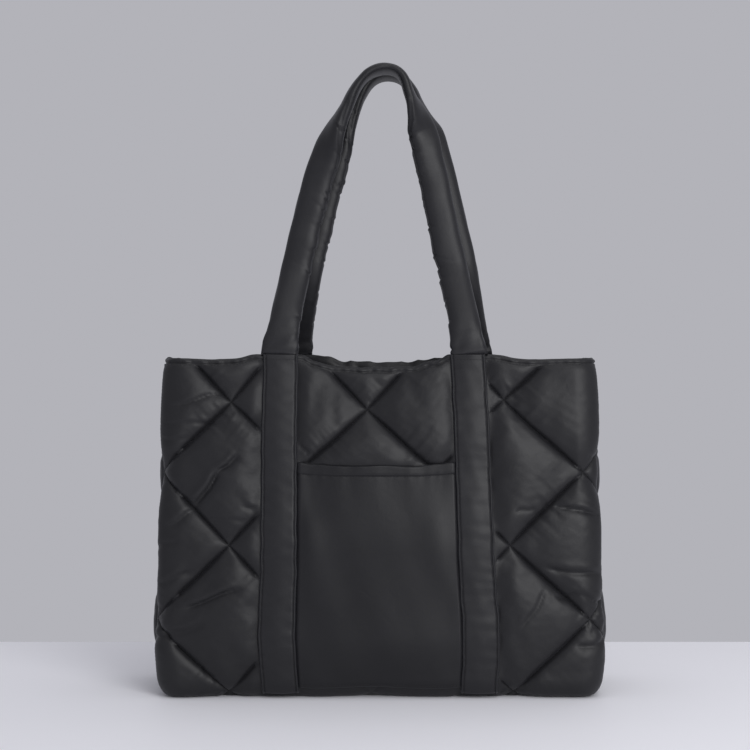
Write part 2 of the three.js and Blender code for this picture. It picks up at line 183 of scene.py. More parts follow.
class ToteBody(bpy.types.PropertyGroup):
    """Sizes of the bag's body"""

    width: length("Width", "Over the side walls, halfway up", 0.467)
    height: length("Height", "Floor to the rim, where the straps cross it", 0.369)
    base_depth: length("Base depth", "Front wall to back wall, low down", 0.130)
    mouth_depth: length("Mouth depth", "The same at the rim's corners", 0.100)
    edge_radius: length("Edge radius", "Rounding of the upright corners and of the foot", 0.020)
    foot_corner: length("Foot corner", "What is left of that rounding at the foot seam's corners", 0.002)
    corner_share: share("Corner share", "Of an upright corner's rounding, wrapped by the broad walls", 0.9)
    side_flare: length("Side flare", "How much further out the side walls stand low down", 0.006)
    belly: length("Belly", "How far the broad walls swell out", 0.009)
    gusset_fold: length("Gusset fold", "How far the side walls tuck in at the rim", 0.024)
    rim_sag: length("Rim sag", "How far the rim hangs down between the straps", 0.016)
    floor_gap: length("Floor gap", "The walls' foot above the floor", 0.0003)


class ToteQuilting(bpy.types.PropertyGroup):
    """Sizes of the quilting and its padding"""

    seam_out: length("Seam outside", "Cloth outside the wall's own surface, at a seam", 0.0015)
    seam_in: length("Seam inside", "Cloth inside it", 0.0015)
    puff_out: length("Puff outside", "Padding outside, at the middle of a diamond", 0.010)
    puff_in: length("Puff inside", "Padding inside", 0.0045)
    seam_reach: length("Seam reach", "Distance over which the padding rises from a seam", 0.026)
    corner_reach: length("Corner reach", "The same from a broad wall's fuller corner seam", 0.016)
    diamond_width: length("Diamond width", "Point to point across", 0.152)
    diamond_height: length("Diamond height", "Point to point upwards", 0.158)
    shift: offset("Shift", "A column of crossings, from the middle of a broad wall", -0.009)
    raised: length("Raise", "A row of crossings, above the floor", 0.005)
    steps: IntProperty(name="Grid steps", description="Grid steps across a diamond", default=40, min=8)
    seam_gap: length("Seam gap", "Clearance between pieces that are sewn together", 0.0003)
    fullness: share("Spare cloth", "How much longer the cloth is than the stitching that gathers it", 0.028)
    calm_fullness: share("Calm spare cloth", "The same in the middle of a puff", 0.004)
    pressure: number("Padding pressure", "How hard the padding pushes the cloth out", 1.1)
    groove: length("Groove", "How far the stitching draws the cloth in", 0.0018)
    groove_width: length("Groove width", "Half of that groove's width", 0.0012)
    pucker: length("Pucker", "Height of the short puckers across the stitching", 0.0011)
    pucker_pitch: length("Pucker pitch", "From one pucker to the next, about", 0.010)
    pucker_reach: length("Pucker reach", "How far they run out from the stitching", 0.011)
    hem: length("Rim hem", "From the rim's edge down to the stitching of its hem", 0.007)
    ruffle: length("Rim ruffle", "How far the rim's edge waves up and down", 0.0017)


class ToteStraps(bpy.types.PropertyGroup):
    """Sizes of the flat straps"""

    spacing: length("Spacing", "Between the middles of a pair, at the foot", 0.212)
    closing: length("Closing", "How much closer together they are at the rim", 0.007)
    lean: offset("Lean", "How far a pair leans to one side between the foot and the rim", -0.006)
    width: length("Width", "Edge to edge", 0.040)
    thickness: length("Thickness", "Of the folded cloth", 0.0025)
    bed: length("Bed", "Padding left pressed under a strap", 0.0025)
    bed_reach: length("Bed reach", "Width beside a strap where that pressed padding ends", 0.007)
    fullness: length("Fullness", "How much fuller a strap is along its middle", 0.0015)
    stitch_inset: length("Stitch inset", "From a strap's edge to its row of stitches", 0.003)


class TotePocket(bpy.types.PropertyGroup):
    """Sizes of the patch pocket"""

    bottom: length("Bottom", "Above the floor", 0.014)
    top: length("Top", "Above the floor", 0.252)
    thickness: length("Thickness", "Of its one cloth", 0.0015)
    hem: length("Hem", "Height of the turned hem along its mouth", 0.013)
    hem_thickness: length("Hem thickness", "Extra cloth in that hem", 0.001)
    fullness: length("Fullness", "How much further out it stands in its middle", 0.003)
    press: share("Press", "Share of the padding that stays behind it", 0.5)
    press_reach: length("Press reach", "Height over which the padding swells up again above it", 0.014)


class ToteHandles(bpy.types.PropertyGroup):
    """Sizes of the padded handles"""

    rise: length("Rise", "Rim to the middle of the loop's crown", 0.313)
    width: length("Width", "Of the padded tube", 0.033)
    thickness: length("Thickness", "Of the padded tube", 0.020)
    sewn_thickness: length("Sewn thickness", "Where it is sewn flat at the rim", 0.009)
    gather: length("Gather", "Height over which the two loops draw together", 0.110)
    gap: length("Gap", "Between the two loops where they lean together", 0.0008)
    front_crown: offset("Front crown", "Where the front loop's crown sits, from the bag's middle", 0.005)
    back_crown: offset("Back crown", "Where the back loop's crown sits", 0.010)
    squareness: number("Squareness", "Exponent of its rounded section, where 2 is an ellipse", 2.6)
    steps: IntProperty(name="Steps", description="Sections along a loop", default=260, min=30)
    sides: IntProperty(name="Sides", description="Points round a section", default=44, min=12)


class ToteFinish(bpy.types.PropertyGroup):
    """Colours and surface of the cloths"""

    shell: colour("Shell", "Quilted nylon", (0.011, 0.011, 0.0125))
    strap: colour("Straps", "Folded nylon", (0.0115, 0.0115, 0.0133))
    pocket: colour("Pocket", "Unpadded nylon", (0.008, 0.008, 0.0095))
    handle: colour("Handles", "Nylon over padding", (0.0125, 0.0125, 0.0145))
    thread: colour("Thread", "Sewing thread", (0.008, 0.008, 0.009))
    roughness: share("Roughness", "Of the satin cloth", 0.44)
    shine: share("Shine", "Specular level of the cloth", 0.27)
    sheen: share("Sheen", "Soft shine at grazing angles", 0.05)
    weave: length("Weave", "Pitch of the threads", 0.00045)


class ToteStage(bpy.types.PropertyGroup):
    """Floor, light and camera"""

    floor: colour("Floor", "Pale floor", (0.86, 0.86, 0.90))
    floor_end: length("Floor's end", "Its far edge, behind the bag's middle", 0.285)
    sky: colour("Surroundings", "Soft light all round", (0.45, 0.45, 0.485))
    sky_strength: number("Surrounding strength", "Strength of that light", 1.0)
    key: number("Key light", "Watts of the broad light at the right of the camera", 24.0)
    high: number("High light", "Watts of the light high above the camera", 9.0)
    fill: number("Top light", "Watts of the broad light above the bag", 6.0)
    distance: length("Camera distance", "From the bag's middle", 1.735)
    camera_height: length("Camera height", "Above the floor", 0.345)
    camera_side: offset("Camera side", "Sideways from the bag's middle", -0.0053)
    lens: FloatProperty(name="Lens", description="Focal length", default=75.0, min=1, unit="CAMERA")


def mix(low, high, part):
    """The value some part of the way from low to high."""
    return low + (high - low) * part


def ease(part):
    """0 to 1, with no slope at either end."""
    t = np.clip(part, 0, 1)
    return t * t * (3 - 2 * t)


def swell(part):
    """0 to 1 along a quarter circle, steep at first, as padding swells from a seam."""
    return np.sqrt(1 - (1 - np.clip(part, 0, 1)) ** 2)


def crown(part):
    """1 in the middle of a wall and 0 at its seams, with no slope there."""
    return (1 - np.clip(part * part, 0, 1)) ** 2


def bell(away, width):
    """1 where away is 0, fading to nothing on both sides."""
    return np.exp(-((away / width) ** 2))


def look_up(table, first, column, at):
    """A column of a table between its rows, with smooth steps."""
    places, values = np.array(table[first]), np.array(table[column])
    k = np.clip(np.searchsorted(places, at) - 1, 0, len(places) - 2)
    part = ease((at - places[k]) / (places[k + 1] - places[k]))
    return mix(values[k], values[k + 1], part)


def flowing(table, first, column, at):
    """A column of a table between its rows, with no bump at a row."""
    places, values = np.array(table[first]), np.array(table[column])
    gaps = np.diff(places)
    climbs = np.diff(values) / gaps
    steady = climbs[:-1] * climbs[1:] > 0
    slopes = np.zeros_like(values)
    slopes[1:-1][steady] = 2 / (1 / climbs[:-1][steady] + 1 / climbs[1:][steady])
    k = np.clip(np.searchsorted(places, at) - 1, 0, len(gaps) - 1)
    t = np.clip((at - places[k]) / gaps[k], 0, 1)
    bend = t * (1 - t) * gaps[k]
    return mix(values[k], values[k + 1], ease(t)) + bend * ((1 - t) * slopes[k] - t * slopes[k + 1])


def wobble(at, wavelength, seed, layers=4):
    """A smooth, uneven wave from about -1 to 1, the same each time for one seed."""
    random = np.random.default_rng(seed)
    total = 0
    for _ in range(layers):
        stretch, phase = random.uniform(0.6, 1.7), random.uniform(0, 2 * math.pi)
        total = total + np.sin(2 * math.pi * at / (wavelength * stretch) + phase)
    return total / layers * 1.4


def crumple(x, y, wavelength, seed, layers=9):
    """A smooth, uneven relief that runs no special way, the same each time for one seed."""
    random = np.random.default_rng(seed)
    total = 0
    for _ in range(layers):
        angle, phase = random.uniform(0, math.pi), random.uniform(0, 2 * math.pi)
        turns = 2 * math.pi / (wavelength * random.uniform(0.7, 1.6))
        total = total + np.sin(turns * (x * math.cos(angle) + y * math.sin(angle)) + phase)
    return total / math.sqrt(layers)


def unit(vectors):
    """The same vectors, each one long."""
    size = np.linalg.norm(vectors, axis=-1, keepdims=True)
    return vectors / np.maximum(size, 1e-12)


def grid_lines(low, high, origin, step, named=()):
    """Sorted grid lines between two ends: the named ones, and the quilting's own where those leave room."""
    kept = [low, high, *named]
    for k in range(math.ceil((low - origin) / step), math.ceil((high - origin) / step)):
        line = origin + k * step
        if all(abs(line - other) > step / 3 for other in kept):
            kept.append(line)
    return np.array(sorted(kept))


def twice(places):
    """The cloth places of a slab whose two grids are alike."""
    return np.concatenate([places, places])


class Shape:
    """The bag's form, worked out from its sizes. Walls are "front", "back" and "side". Across runs along
    a wall from seam to seam, and up from the foot seam to the rim."""

    def __init__(self, scene):
        self.body, self.quilt, self.straps = scene.tote_body, scene.tote_quilting, scene.tote_straps
        self.pocket, self.handles = scene.tote_pocket, scene.tote_handles
        radius = self.body.edge_radius
        self.foot_length = radius * math.pi / 2
        self.foot_centre = self.body.floor_gap + self.quilt.seam_out + radius
        self.wall_length = self.foot_length + self.body.height - self.foot_centre
        self.flats = {"broad": self.body.width / 2 - radius, "side": self.body.base_depth / 2 - radius}
        shares = {"broad": self.body.corner_share, "side": 1 - self.body.corner_share}
        self.halves = {kind: flat + self.foot_length * shares[kind] for kind, flat in self.flats.items()}
        self.strap_inner = (self.straps.spacing - self.straps.width) / 2
        self.strap_outer = (self.straps.spacing + self.straps.width) / 2
        low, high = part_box("base_panel")
        self.middle = np.array([(low[0] + high[0]) / 2, (low[1] + high[1]) / 2, 0])

    def place(self, turned):
        """The part's middle, for a piece that may be turned round afterwards."""
        return self.middle * ([-1, -1, 1] if turned else [1, 1, 1])

    @staticmethod
    def kind(wall):
        return "side" if wall == "side" else "broad"

    def height_of(self, up):
        return up - self.foot_length + self.foot_centre

    def up_of(self, height):
        return height + self.foot_length - self.foot_centre

    def profile(self, up):
        """A wall's line from the foot seam up to the rim: how far in it lies, and its height."""
        radius = self.body.edge_radius
        turn = np.minimum(up / radius, math.pi / 2)
        inset = radius * (1 - np.sin(turn))
        rounded = self.foot_centre - radius * np.cos(turn)
        return inset, np.where(up < self.foot_length, rounded, self.height_of(up))

    def rim_drop(self, wall, across):
        away = np.abs(across)
        if wall == "side":
            place = 2 * away / self.halves["side"]
        else:
            beyond = 1 + (away - self.strap_outer) / (self.halves["broad"] - self.strap_outer)
            place = np.where(away <= self.strap_inner, away / self.strap_inner, np.maximum(beyond, 1))
        return self.body.rim_sag * look_up(RIM_ROWS, "place", wall, np.clip(place, 0, 2))

    def lean(self, across, height):
        """How far a broad wall's straps and quilting lie off their place at the foot."""
        fade = ease((self.halves["broad"] - np.abs(across)) / (self.halves["broad"] - self.strap_outer))
        closing = self.straps.closing / self.straps.spacing * across
        return height / self.body.height * (self.straps.lean - closing) * fade

    def surface(self, wall, across, up):
        """Points of the wall's own surface, before padding."""
        body, kind = self.body, self.kind(wall)
        inset, height = self.profile(up)
        rise = height / body.height
        section = {name: look_up(BODY_SECTIONS, "height", name, rise) for name in BODY_SECTIONS}
        half_width = body.width / 2 + body.side_flare * section["flare"]
        half_depth = mix(body.base_depth, body.mouth_depth, section["close"]) / 2
        radius = np.maximum(body.edge_radius - inset, body.foot_corner)
        reach, out = (half_depth, half_width) if kind == "side" else (half_width, half_depth)
        bulge = -body.gusset_fold * section["fold"] if kind == "side" else body.belly * section["belly"]
        flat = reach - inset - radius
        past = np.maximum(np.abs(across) - self.flats[kind], 0) / body.edge_radius
        along = np.where(
            past > 0,
            np.sign(across) * (flat + radius * np.sin(past)),
            across / self.flats[kind] * flat,
        )
        out = out - inset - radius + radius * np.cos(past) + bulge * crown(across / self.halves[kind])
        z = height - self.rim_drop(wall, across) * ease((rise - 0.5) / 0.5)
        if kind == "side":
            return np.stack([out, along, z], -1)
        return np.stack([along + self.lean(across, height), -out, z], -1)

    def normals(self, wall, across, up):
        nudge = 0.5 * MM
        sideways = self.surface(wall, across + nudge, up) - self.surface(wall, across - nudge, up)
        upwards = self.surface(wall, across, up + nudge) - self.surface(wall, across, up - nudge)
        return unit(np.cross(sideways, upwards))

    def point(self, wall, across, up, thickness):
        """The same points moved out of the surface by some thickness, but not through the floor."""
        outwards = self.normals(wall, across, up) * np.asarray(thickness)[..., None]
        found = self.surface(wall, across, up) + outwards
        found[..., 2] = np.maximum(found[..., 2], self.body.floor_gap)
        return found

    def lattice(self, wall, across, up):
        """Whole numbers of the first value, or of the second, are the quilting's two sets of lines."""
        quilt = self.quilt
        u = (across - (0 if wall == "side" else quilt.shift)) / quilt.diamond_width
        w = (self.height_of(up) - quilt.raised) / quilt.diamond_height
        return u - w, u + w

    def from_line(self, wall, across, up):
        """0 on a line of the quilting and 0.5 halfway to the next."""
        return [np.abs(way - np.round(way)) for way in self.lattice(wall, across, up)]

    def quilting(self, wall, across, up):
        first, second = self.lattice(wall, across, up)
        return np.sqrt(np.abs(np.sin(math.pi * first) * np.sin(math.pi * second)))

    def from_strap(self, across):
        return np.abs(np.abs(across) - self.straps.spacing / 2) - self.straps.width / 2

    def fullness(self, wall, across, up):
        """How far the padding has risen, 0 at the seams, the straps and the quilting's lines."""
        half, reach = self.halves[self.kind(wall)], self.quilt.seam_reach
        corner_reach = reach if wall == "side" else self.quilt.corner_reach
        risen = self.quilting(wall, across, up) * swell((half - np.abs(across)) / corner_reach)
        risen = risen * swell(up / reach) * swell((self.wall_length - up) / reach)
        return risen if wall == "side" else risen * swell(self.from_strap(across) / reach)

    def outside(self, wall, across, up):
        """Thickness of the wall outside its own surface."""
        quilt, straps, pocket = self.quilt, self.straps, self.pocket
        puff = quilt.puff_out * self.fullness(wall, across, up)
        if wall == "side":
            return quilt.seam_out + puff
        if wall == "front":
            level = 0.5 + (pocket.top - self.height_of(up)) / pocket.press_reach
            pressed = 1 - ease(level) * (1 - pocket.press)
            puff = puff * np.where(np.abs(across) < self.strap_inner, pressed, 1)
        bed = straps.bed * ease(1 - self.from_strap(across) / straps.bed_reach)
        return quilt.seam_out + np.maximum(puff, bed)

    def inside(self, wall, across, up):
        return self.quilt.seam_in + self.quilt.puff_in * self.fullness(wall, across, up)

    def behind_pocket(self, across, up):
        return (np.abs(across) < self.strap_inner) & (self.height_of(up) < self.pocket.top + 1 * MM)

    def pressed_flat(self, wall, across, up):
        """Where a strap or the pocket lies over the wall."""
        if wall == "side":
            return np.zeros(across.shape, bool)
        behind = self.behind_pocket(across, up) if wall == "front" else False
        return (self.from_strap(across) < self.straps.bed_reach) | behind

    def lean_right(self, wall, columns, rows):
        """Whether the stitching nearest to each of a grid's cells runs up to the right."""
        middles = np.meshgrid((columns[:-1] + columns[1:]) / 2, (rows[:-1] + rows[1:]) / 2)
        first, second = self.from_line(wall, *middles)
        return first < second

    def columns(self, wall):
        kind, step = self.kind(wall), self.quilt.diamond_width / self.quilt.steps
        end, flat = self.halves[kind] - self.quilt.seam_gap / 2, self.flats[kind]
        named = [-flat, flat]
        if kind == "broad":
            named += [side * edge for side in (-1, 1) for edge in (self.strap_inner, self.strap_outer)]
        return grid_lines(-end, end, 0 if wall == "side" else self.quilt.shift, step, named)

    def rows(self):
        step = self.quilt.diamond_height / self.quilt.steps
        top = self.wall_length
        named = [top - self.quilt.hem, top - RIM_ROUND, top - 1.5 * MM, top - 0.5 * MM]
        return grid_lines(0, top, self.up_of(self.quilt.raised), step, named)


def sheet_faces(rows, columns, lean_right):
    """Triangles over a grid of points. lean_right says which cells' diagonals run up to the right."""
    index = np.arange(rows * columns).reshape(rows, columns)
    a, b, c, d = index[:-1, :-1], index[:-1, 1:], index[1:, 1:], index[1:, :-1]
    right = np.stack([np.stack([a, b, c], -1), np.stack([a, c, d], -1)], 2)
    left = np.stack([np.stack([a, b, d], -1), np.stack([b, c, d], -1)], 2)
    return np.where(lean_right[..., None, None], right, left).reshape(-1, 3)


def edge_ring(rows, columns):
    """A grid's outermost points, once round."""
    index = np.arange(rows * columns).reshape(rows, columns)
    return np.concatenate([index[0, :-1], index[:-1, -1], index[-1, :0:-1], index[:0:-1, 0]])


def slab(outer, inner, lean_right=None):
    """A closed mesh between two grids of points. The outer one may be twice as fine as the inner one."""
    rows, columns = outer.shape[:2]
    if lean_right is None:
        lean_right = np.ones((rows - 1, columns - 1), bool)
    count = rows * columns
    fineness = (columns - 1) // (inner.shape[1] - 1)
    front = sheet_faces(rows, columns, lean_right)
    back = sheet_faces(*inner.shape[:2], lean_right[::fineness, ::fineness])[:, ::-1] + count
    near, far = edge_ring(rows, columns), edge_ring(*inner.shape[:2]) + count
    far_after = np.roll(far, -1)
    middle, end = (np.roll(near, -step)[::fineness] for step in (1, fineness))
    sides = [np.stack([far, far_after, middle], -1), np.stack([far, middle, near[::fineness]], -1)]
    if fineness == 2:
        sides.append(np.stack([far_after, end, middle], -1))
    points = np.concatenate([outer.reshape(-1, 3), inner.reshape(-1, 3)])
    return points, np.concatenate([front, back, *sides])


def halfway(grid, axis):
    """Points halfway between neighbours along one way of a grid, on a smooth curve through them."""
    grid = np.moveaxis(grid, axis, 0)
    before = np.concatenate([grid[:1], grid[:-2]])
    after = np.concatenate([grid[2:], grid[-1:]])
    return np.moveaxis((9 * (grid[:-1] + grid[1:]) - before - after) / 16, 0, axis)


def finer(grid, lean_right):
    """The same surface on a grid twice as fine. Stitching runs straight along the cells' diagonals."""
    rows, columns = grid.shape[:2]
    fine = np.empty((2 * rows - 1, 2 * columns - 1, 3))
    fine[::2, ::2] = grid
    fine[::2, 1::2] = halfway(grid, 1)
    fine[1::2, ::2] = halfway(grid, 0)
    a, b, c, d = grid[:-1, :-1], grid[:-1, 1:], grid[1:, 1:], grid[1:, :-1]
    diagonal = np.where(lean_right[..., None], a + c, b + d) / 2
    fine[1::2, 1::2] = mix(halfway(fine[::2, 1::2], 0), diagonal, 0.6)
    return fine


def finer_lines(lines):
    fine = np.empty(2 * len(lines) - 1)
    fine[::2], fine[1::2] = lines, (lines[:-1] + lines[1:]) / 2
    return fine


def add_piece(name, points, faces, cloth_places, material, turned=False, creased=None):
    """A smooth piece that rides on the bag. cloth_places are the points' places along the flat cloth.
    creased says which of the first points lie at the bottom of a sharp crease."""
    if turned:
        points = points * [-1, -1, 1]
    mesh = bpy.data.meshes.new(name)
    mesh.from_pydata(points.tolist(), [], faces.tolist())
    mesh.polygons.foreach_set("use_smooth", np.ones(len(mesh.polygons), bool))
    layer = mesh.uv_layers.new(name="cloth")
    corners = np.empty(len(mesh.loops), np.int32)
    mesh.loops.foreach_get("vertex_index", corners)
    layer.data.foreach_set("uv", cloth_places[corners].astype(np.float32).ravel())
    mesh.materials.append(material)
    mesh.update()
    if creased is not None:
        ends = np.empty(len(mesh.edges) * 2, np.int32)
        mesh.edges.foreach_get("vertices", ends)
        low = np.concatenate([creased, np.zeros(len(points) - len(creased), bool)])
        sharp = mesh.attributes.new("sharp_edge", "BOOLEAN", "EDGE")
        sharp.data.foreach_set("value", low[ends.reshape(-1, 2)].all(1))
    piece = bpy.data.objects.new(name, mesh)
    bpy.context.scene.collection.objects.link(piece)
    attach(piece, "root")
    return piece


def settle(points, held, calm, quilt, frames=14):
    """Cloth with a little to spare, pushed out by its padding and gathered where its stitching holds it.
    Where it is calm it has less to spare."""
    rows, columns = points.shape[:2]
    index = np.arange(rows * columns).reshape(rows, columns)
    quads = np.stack([index[:-1, :-1], index[:-1, 1:], index[1:, 1:], index[1:, :-1]], -1).reshape(-1, 4)
    mesh = bpy.data.meshes.new("loose_cloth")
    mesh.from_pydata(points.reshape(-1, 3).tolist(), [], quads.tolist())
    cloth = bpy.data.objects.new("loose_cloth", mesh)
    bpy.context.scene.collection.objects.link(cloth)
    group = cloth.vertex_groups.new(name="held")
    group.add(np.flatnonzero(held).tolist(), 1.0, "REPLACE")
    calm_group = cloth.vertex_groups.new(name="calm")
    for vertex, weight in enumerate(calm.ravel().tolist()):
        calm_group.add([vertex], weight, "REPLACE")
    modifier = cloth.modifiers.new("cloth", "CLOTH")
    settings = modifier.settings
    settings.vertex_group_mass = group.name
    settings.vertex_group_shrink = calm_group.name
    for name, value in THIN_NYLON.items():
        setattr(settings, name, value)
    settings.use_pressure = True
    settings.uniform_pressure_force = quilt.pressure
    settings.shrink_min = -quilt.fullness
    settings.shrink_max = -quilt.calm_fullness
    settings.effector_weights.gravity = 0
    modifier.collision_settings.use_collision = False
    modifier.point_cache.frame_end = frames
    scene = bpy.context.scene
    for moment in range(1, frames + 1):
        scene.frame_set(moment)
    evaluated = cloth.evaluated_get(bpy.context.evaluated_depsgraph_get())
    result = np.empty(len(mesh.vertices) * 3)
    evaluated.to_mesh().vertices.foreach_get("co", result)
    evaluated.to_mesh_clear()
    bpy.data.objects.remove(cloth)
    bpy.data.meshes.remove(mesh)
    scene.frame_set(1)
    return result.reshape(points.shape)


def capped(points, start, normals, outwards, inwards, sideways):
    """Points kept within some distance of where they started."""
    moved = points - start
    out = (moved * normals).sum(-1, keepdims=True)
    flat = moved - out * normals
    far = np.linalg.norm(flat, axis=-1, keepdims=True)
    flat = flat * np.minimum(1, sideways / np.maximum(far, 1e-12))
    return start + np.clip(out, -inwards, outwards) * normals + flat


def smoothed(points, held, rounds):
    """A grid with its smallest ripples taken out, except where it is held."""
    for _ in range(rounds):
        around = (points[:-2, 1:-1] + points[2:, 1:-1] + points[1:-1, :-2] + points[1:-1, 2:]) / 4
        still = held[1:-1, 1:-1, None]
        points[1:-1, 1:-1] = np.where(still, points[1:-1, 1:-1], mix(points[1:-1, 1:-1], around, 0.6))
    return points


def folded(across, height, folds):
    """How far sharp folds press the cloth in, each with a soft ridge on its upper side."""
    depth = np.zeros_like(across)
    for start, end, deep, half_width in folds:
        start, end = np.array(start) * MM, np.array(end) * MM
        if end[0] < start[0]:
            start, end = end, start
        way = end - start
        long = np.hypot(*way)
        x, z = across - start[0], height - start[1]
        along = (x * way[0] + z * way[1]) / long
        off = (z * way[0] - x * way[1]) / long
        # It bends once to each side, from a start that differs from fold to fold
        off = off + 0.9 * MM * np.sin(along * 2 * math.pi / (0.9 * long) + 30 * start[0] / MM)
        ends = ease(np.minimum(along, long - along) / (0.3 * long) + 0.3)
        wide = half_width * MM
        valley = np.exp(-np.abs(off) / (wide * np.where(off > 0, 0.55, 0.8)))
        ridge = 0.2 * bell(off - 1.4 * wide, 1.1 * wide)
        depth += deep * MM * ends * (valley - ridge)
    return depth


def mirrored(folds):
    """The same folds on a wall's other half."""
    return [((-a, b), (-c, d), deep, wide) for (a, b), (c, d), deep, wide in folds]


class Socket:
    """A number that flows between shader nodes, and can be added to, multiplied and so on."""

    def __init__(self, shader, socket):
        self.shader, self.socket = shader, socket

    def _math(self, operation, first, second=0.0):
        return self.shader.node("ShaderNodeMath", {"operation": operation}, {0: first, 1: second})

    def __add__(self, other):
        return self._math("ADD", self, other)

    def __sub__(self, other):
        return self._math("SUBTRACT", self, other)

    def __mul__(self, other):
        return self._math("MULTIPLY", self, other)

    __radd__, __rmul__ = __add__, __mul__

    def sine(self):
        return self._math("SINE", self)

    def size(self):
        return self._math("ABSOLUTE", self)


class Shader:
    """A material under construction."""

    def __init__(self, name):
        self.material = bpy.data.materials.new(name)
        self.material.use_nodes = True
        self.tree = self.material.node_tree
        self.tree.nodes.clear()

    def node(self, kind, settings=(), inputs=(), output=0):
        """Adds a node with its settings and its sockets' values or links, and gives one of its outputs."""
        made = self.tree.nodes.new(kind)
        for name, value in dict(settings).items():
            setattr(made, name, value)
        for name, value in dict(inputs).items():
            if isinstance(value, Socket):
                self.tree.links.new(value.socket, made.inputs[name])
            else:
                made.inputs[name].default_value = value
        return None if output is None else Socket(self, made.outputs[output])

    def noise(self, place, scale, detail=3.0, distortion=0.0):
        inputs = {"Vector": place, "Scale": scale, "Detail": detail, "Distortion": distortion}
        return self.node("ShaderNodeTexNoise", {}, inputs)

    def ranged(self, value, low, high, interpolation="LINEAR"):
        """0 where the value is low, 1 where it is high."""
        inputs = {"Value": value, "From Min": low, "From Max": high}
        return self.node("ShaderNodeMapRange", {"interpolation_type": interpolation}, inputs)

    def mixed(self, part, first, second):
        """A colour between two, each a Socket or three numbers."""
        first, second = (c if isinstance(c, Socket) else (*c, 1) for c in (first, second))
        return self.node("ShaderNodeMix", {"data_type": "RGBA"}, {0: part, 6: first, 7: second}, 2)

    def finish(self, inputs):
        """The surface itself, from its constants and what varies over it."""
        surface = self.node("ShaderNodeBsdfPrincipled", {}, inputs)
        self.node("ShaderNodeOutputMaterial", {}, {"Surface": surface}, None)
        return self.material


def nylon(name, tint, finish, crinkle=1.0):
    """Satin nylon: a fine plain weave, soft crinkles, and shine and shade that vary a little."""
    if name in bpy.data.materials:
        return bpy.data.materials[name]
    shader = Shader(name)
    flat = shader.node("ShaderNodeUVMap", {"uv_map": "cloth"})
    solid = shader.node("ShaderNodeTexCoord", {}, {}, "Object")
    across = shader.node("ShaderNodeSeparateXYZ", {}, {0: flat}, "X")
    along = shader.node("ShaderNodeSeparateXYZ", {}, {0: flat}, "Y")
    turns = math.pi / finish.weave
    weave = (across * turns).sine() * (along * turns).sine()
    patches = shader.noise(solid, 11.0, 2.0)
    mottle = shader.noise(solid, 95.0, 4.0, 0.4)
    slubs = shader.noise(flat, 900.0, 2.0)
    creases = shader.noise(solid, 120.0, 3.0, 1.2)
    fold_lines = (shader.noise(solid, 30.0, 1.0, 0.3) - 0.5).size()
    fold_lines = shader.ranged(fold_lines, 0.0, 0.07, "SMOOTHSTEP")
    here_and_there = shader.ranged(shader.noise(solid, 17.0, 2.0), 0.5, 0.7)
    creases = creases + fold_lines * here_and_there * 0.6
    worn = patches * 0.6 + mottle * 0.4
    edges = shader.node("ShaderNodeNewGeometry", {}, {}, "Pointiness")
    rubbed = shader.ranged(edges, 0.52, 0.62) * 0.35
    cloth_colour = shader.mixed(worn, [c * 0.78 for c in tint], [c * 1.3 for c in tint])
    cloth_colour = shader.mixed(rubbed, cloth_colour, [c * 2.2 for c in tint])
    roughness = (finish.roughness - 0.09) + patches * 0.08 + mottle * 0.07 + slubs * 0.04
    crinkled = {"Strength": 0.3, "Distance": 0.45 * MM * crinkle, "Height": creases}
    crinkled = shader.node("ShaderNodeBump", {}, crinkled)
    woven = {"Strength": 0.25, "Distance": 0.05 * MM, "Height": weave, "Normal": crinkled}
    woven = shader.node("ShaderNodeBump", {}, woven)
    return shader.finish(
        {
            "Base Color": cloth_colour,
            "Roughness": roughness,
            "Normal": woven,
            "Sheen Weight": finish.sheen,
            "Sheen Roughness": 0.4,
            "Sheen Tint": (0.85, 0.86, 1.0, 1),
            "Specular IOR Level": finish.shine,
        }
    )


def sewing_thread(name, tint):
    """Matte spun thread."""
    if name in bpy.data.materials:
        return bpy.data.materials[name]
    shader = Shader(name)
    solid = shader.node("ShaderNodeTexCoord", {}, {}, "Object")
    fibres = shader.noise(solid, 2500.0, 2.0)
    colour_now = shader.mixed(fibres, [c * 0.7 for c in tint], [c * 1.5 for c in tint])
    return shader.finish({"Base Color": colour_now, "Roughness": 0.62 + fibres * 0.15})


def sampled(grid, columns, rows, across, up):
    """Points of a grid at places between its lines, and the grid's normals there."""
    u = np.interp(across, columns, np.arange(len(columns)))
    w = np.interp(up, rows, np.arange(len(rows)))
    i, j = np.clip(u.astype(int), 0, len(columns) - 2), np.clip(w.astype(int), 0, len(rows) - 2)
    s, t = (u - i)[:, None], (w - j)[:, None]
    low = mix(grid[j, i], grid[j, i + 1], s)
    high = mix(grid[j + 1, i], grid[j + 1, i + 1], s)
    sideways = mix(grid[j, i + 1] - grid[j, i], grid[j + 1, i + 1] - grid[j + 1, i], t)
    return mix(low, high, t), unit(np.cross(sideways, high - low))


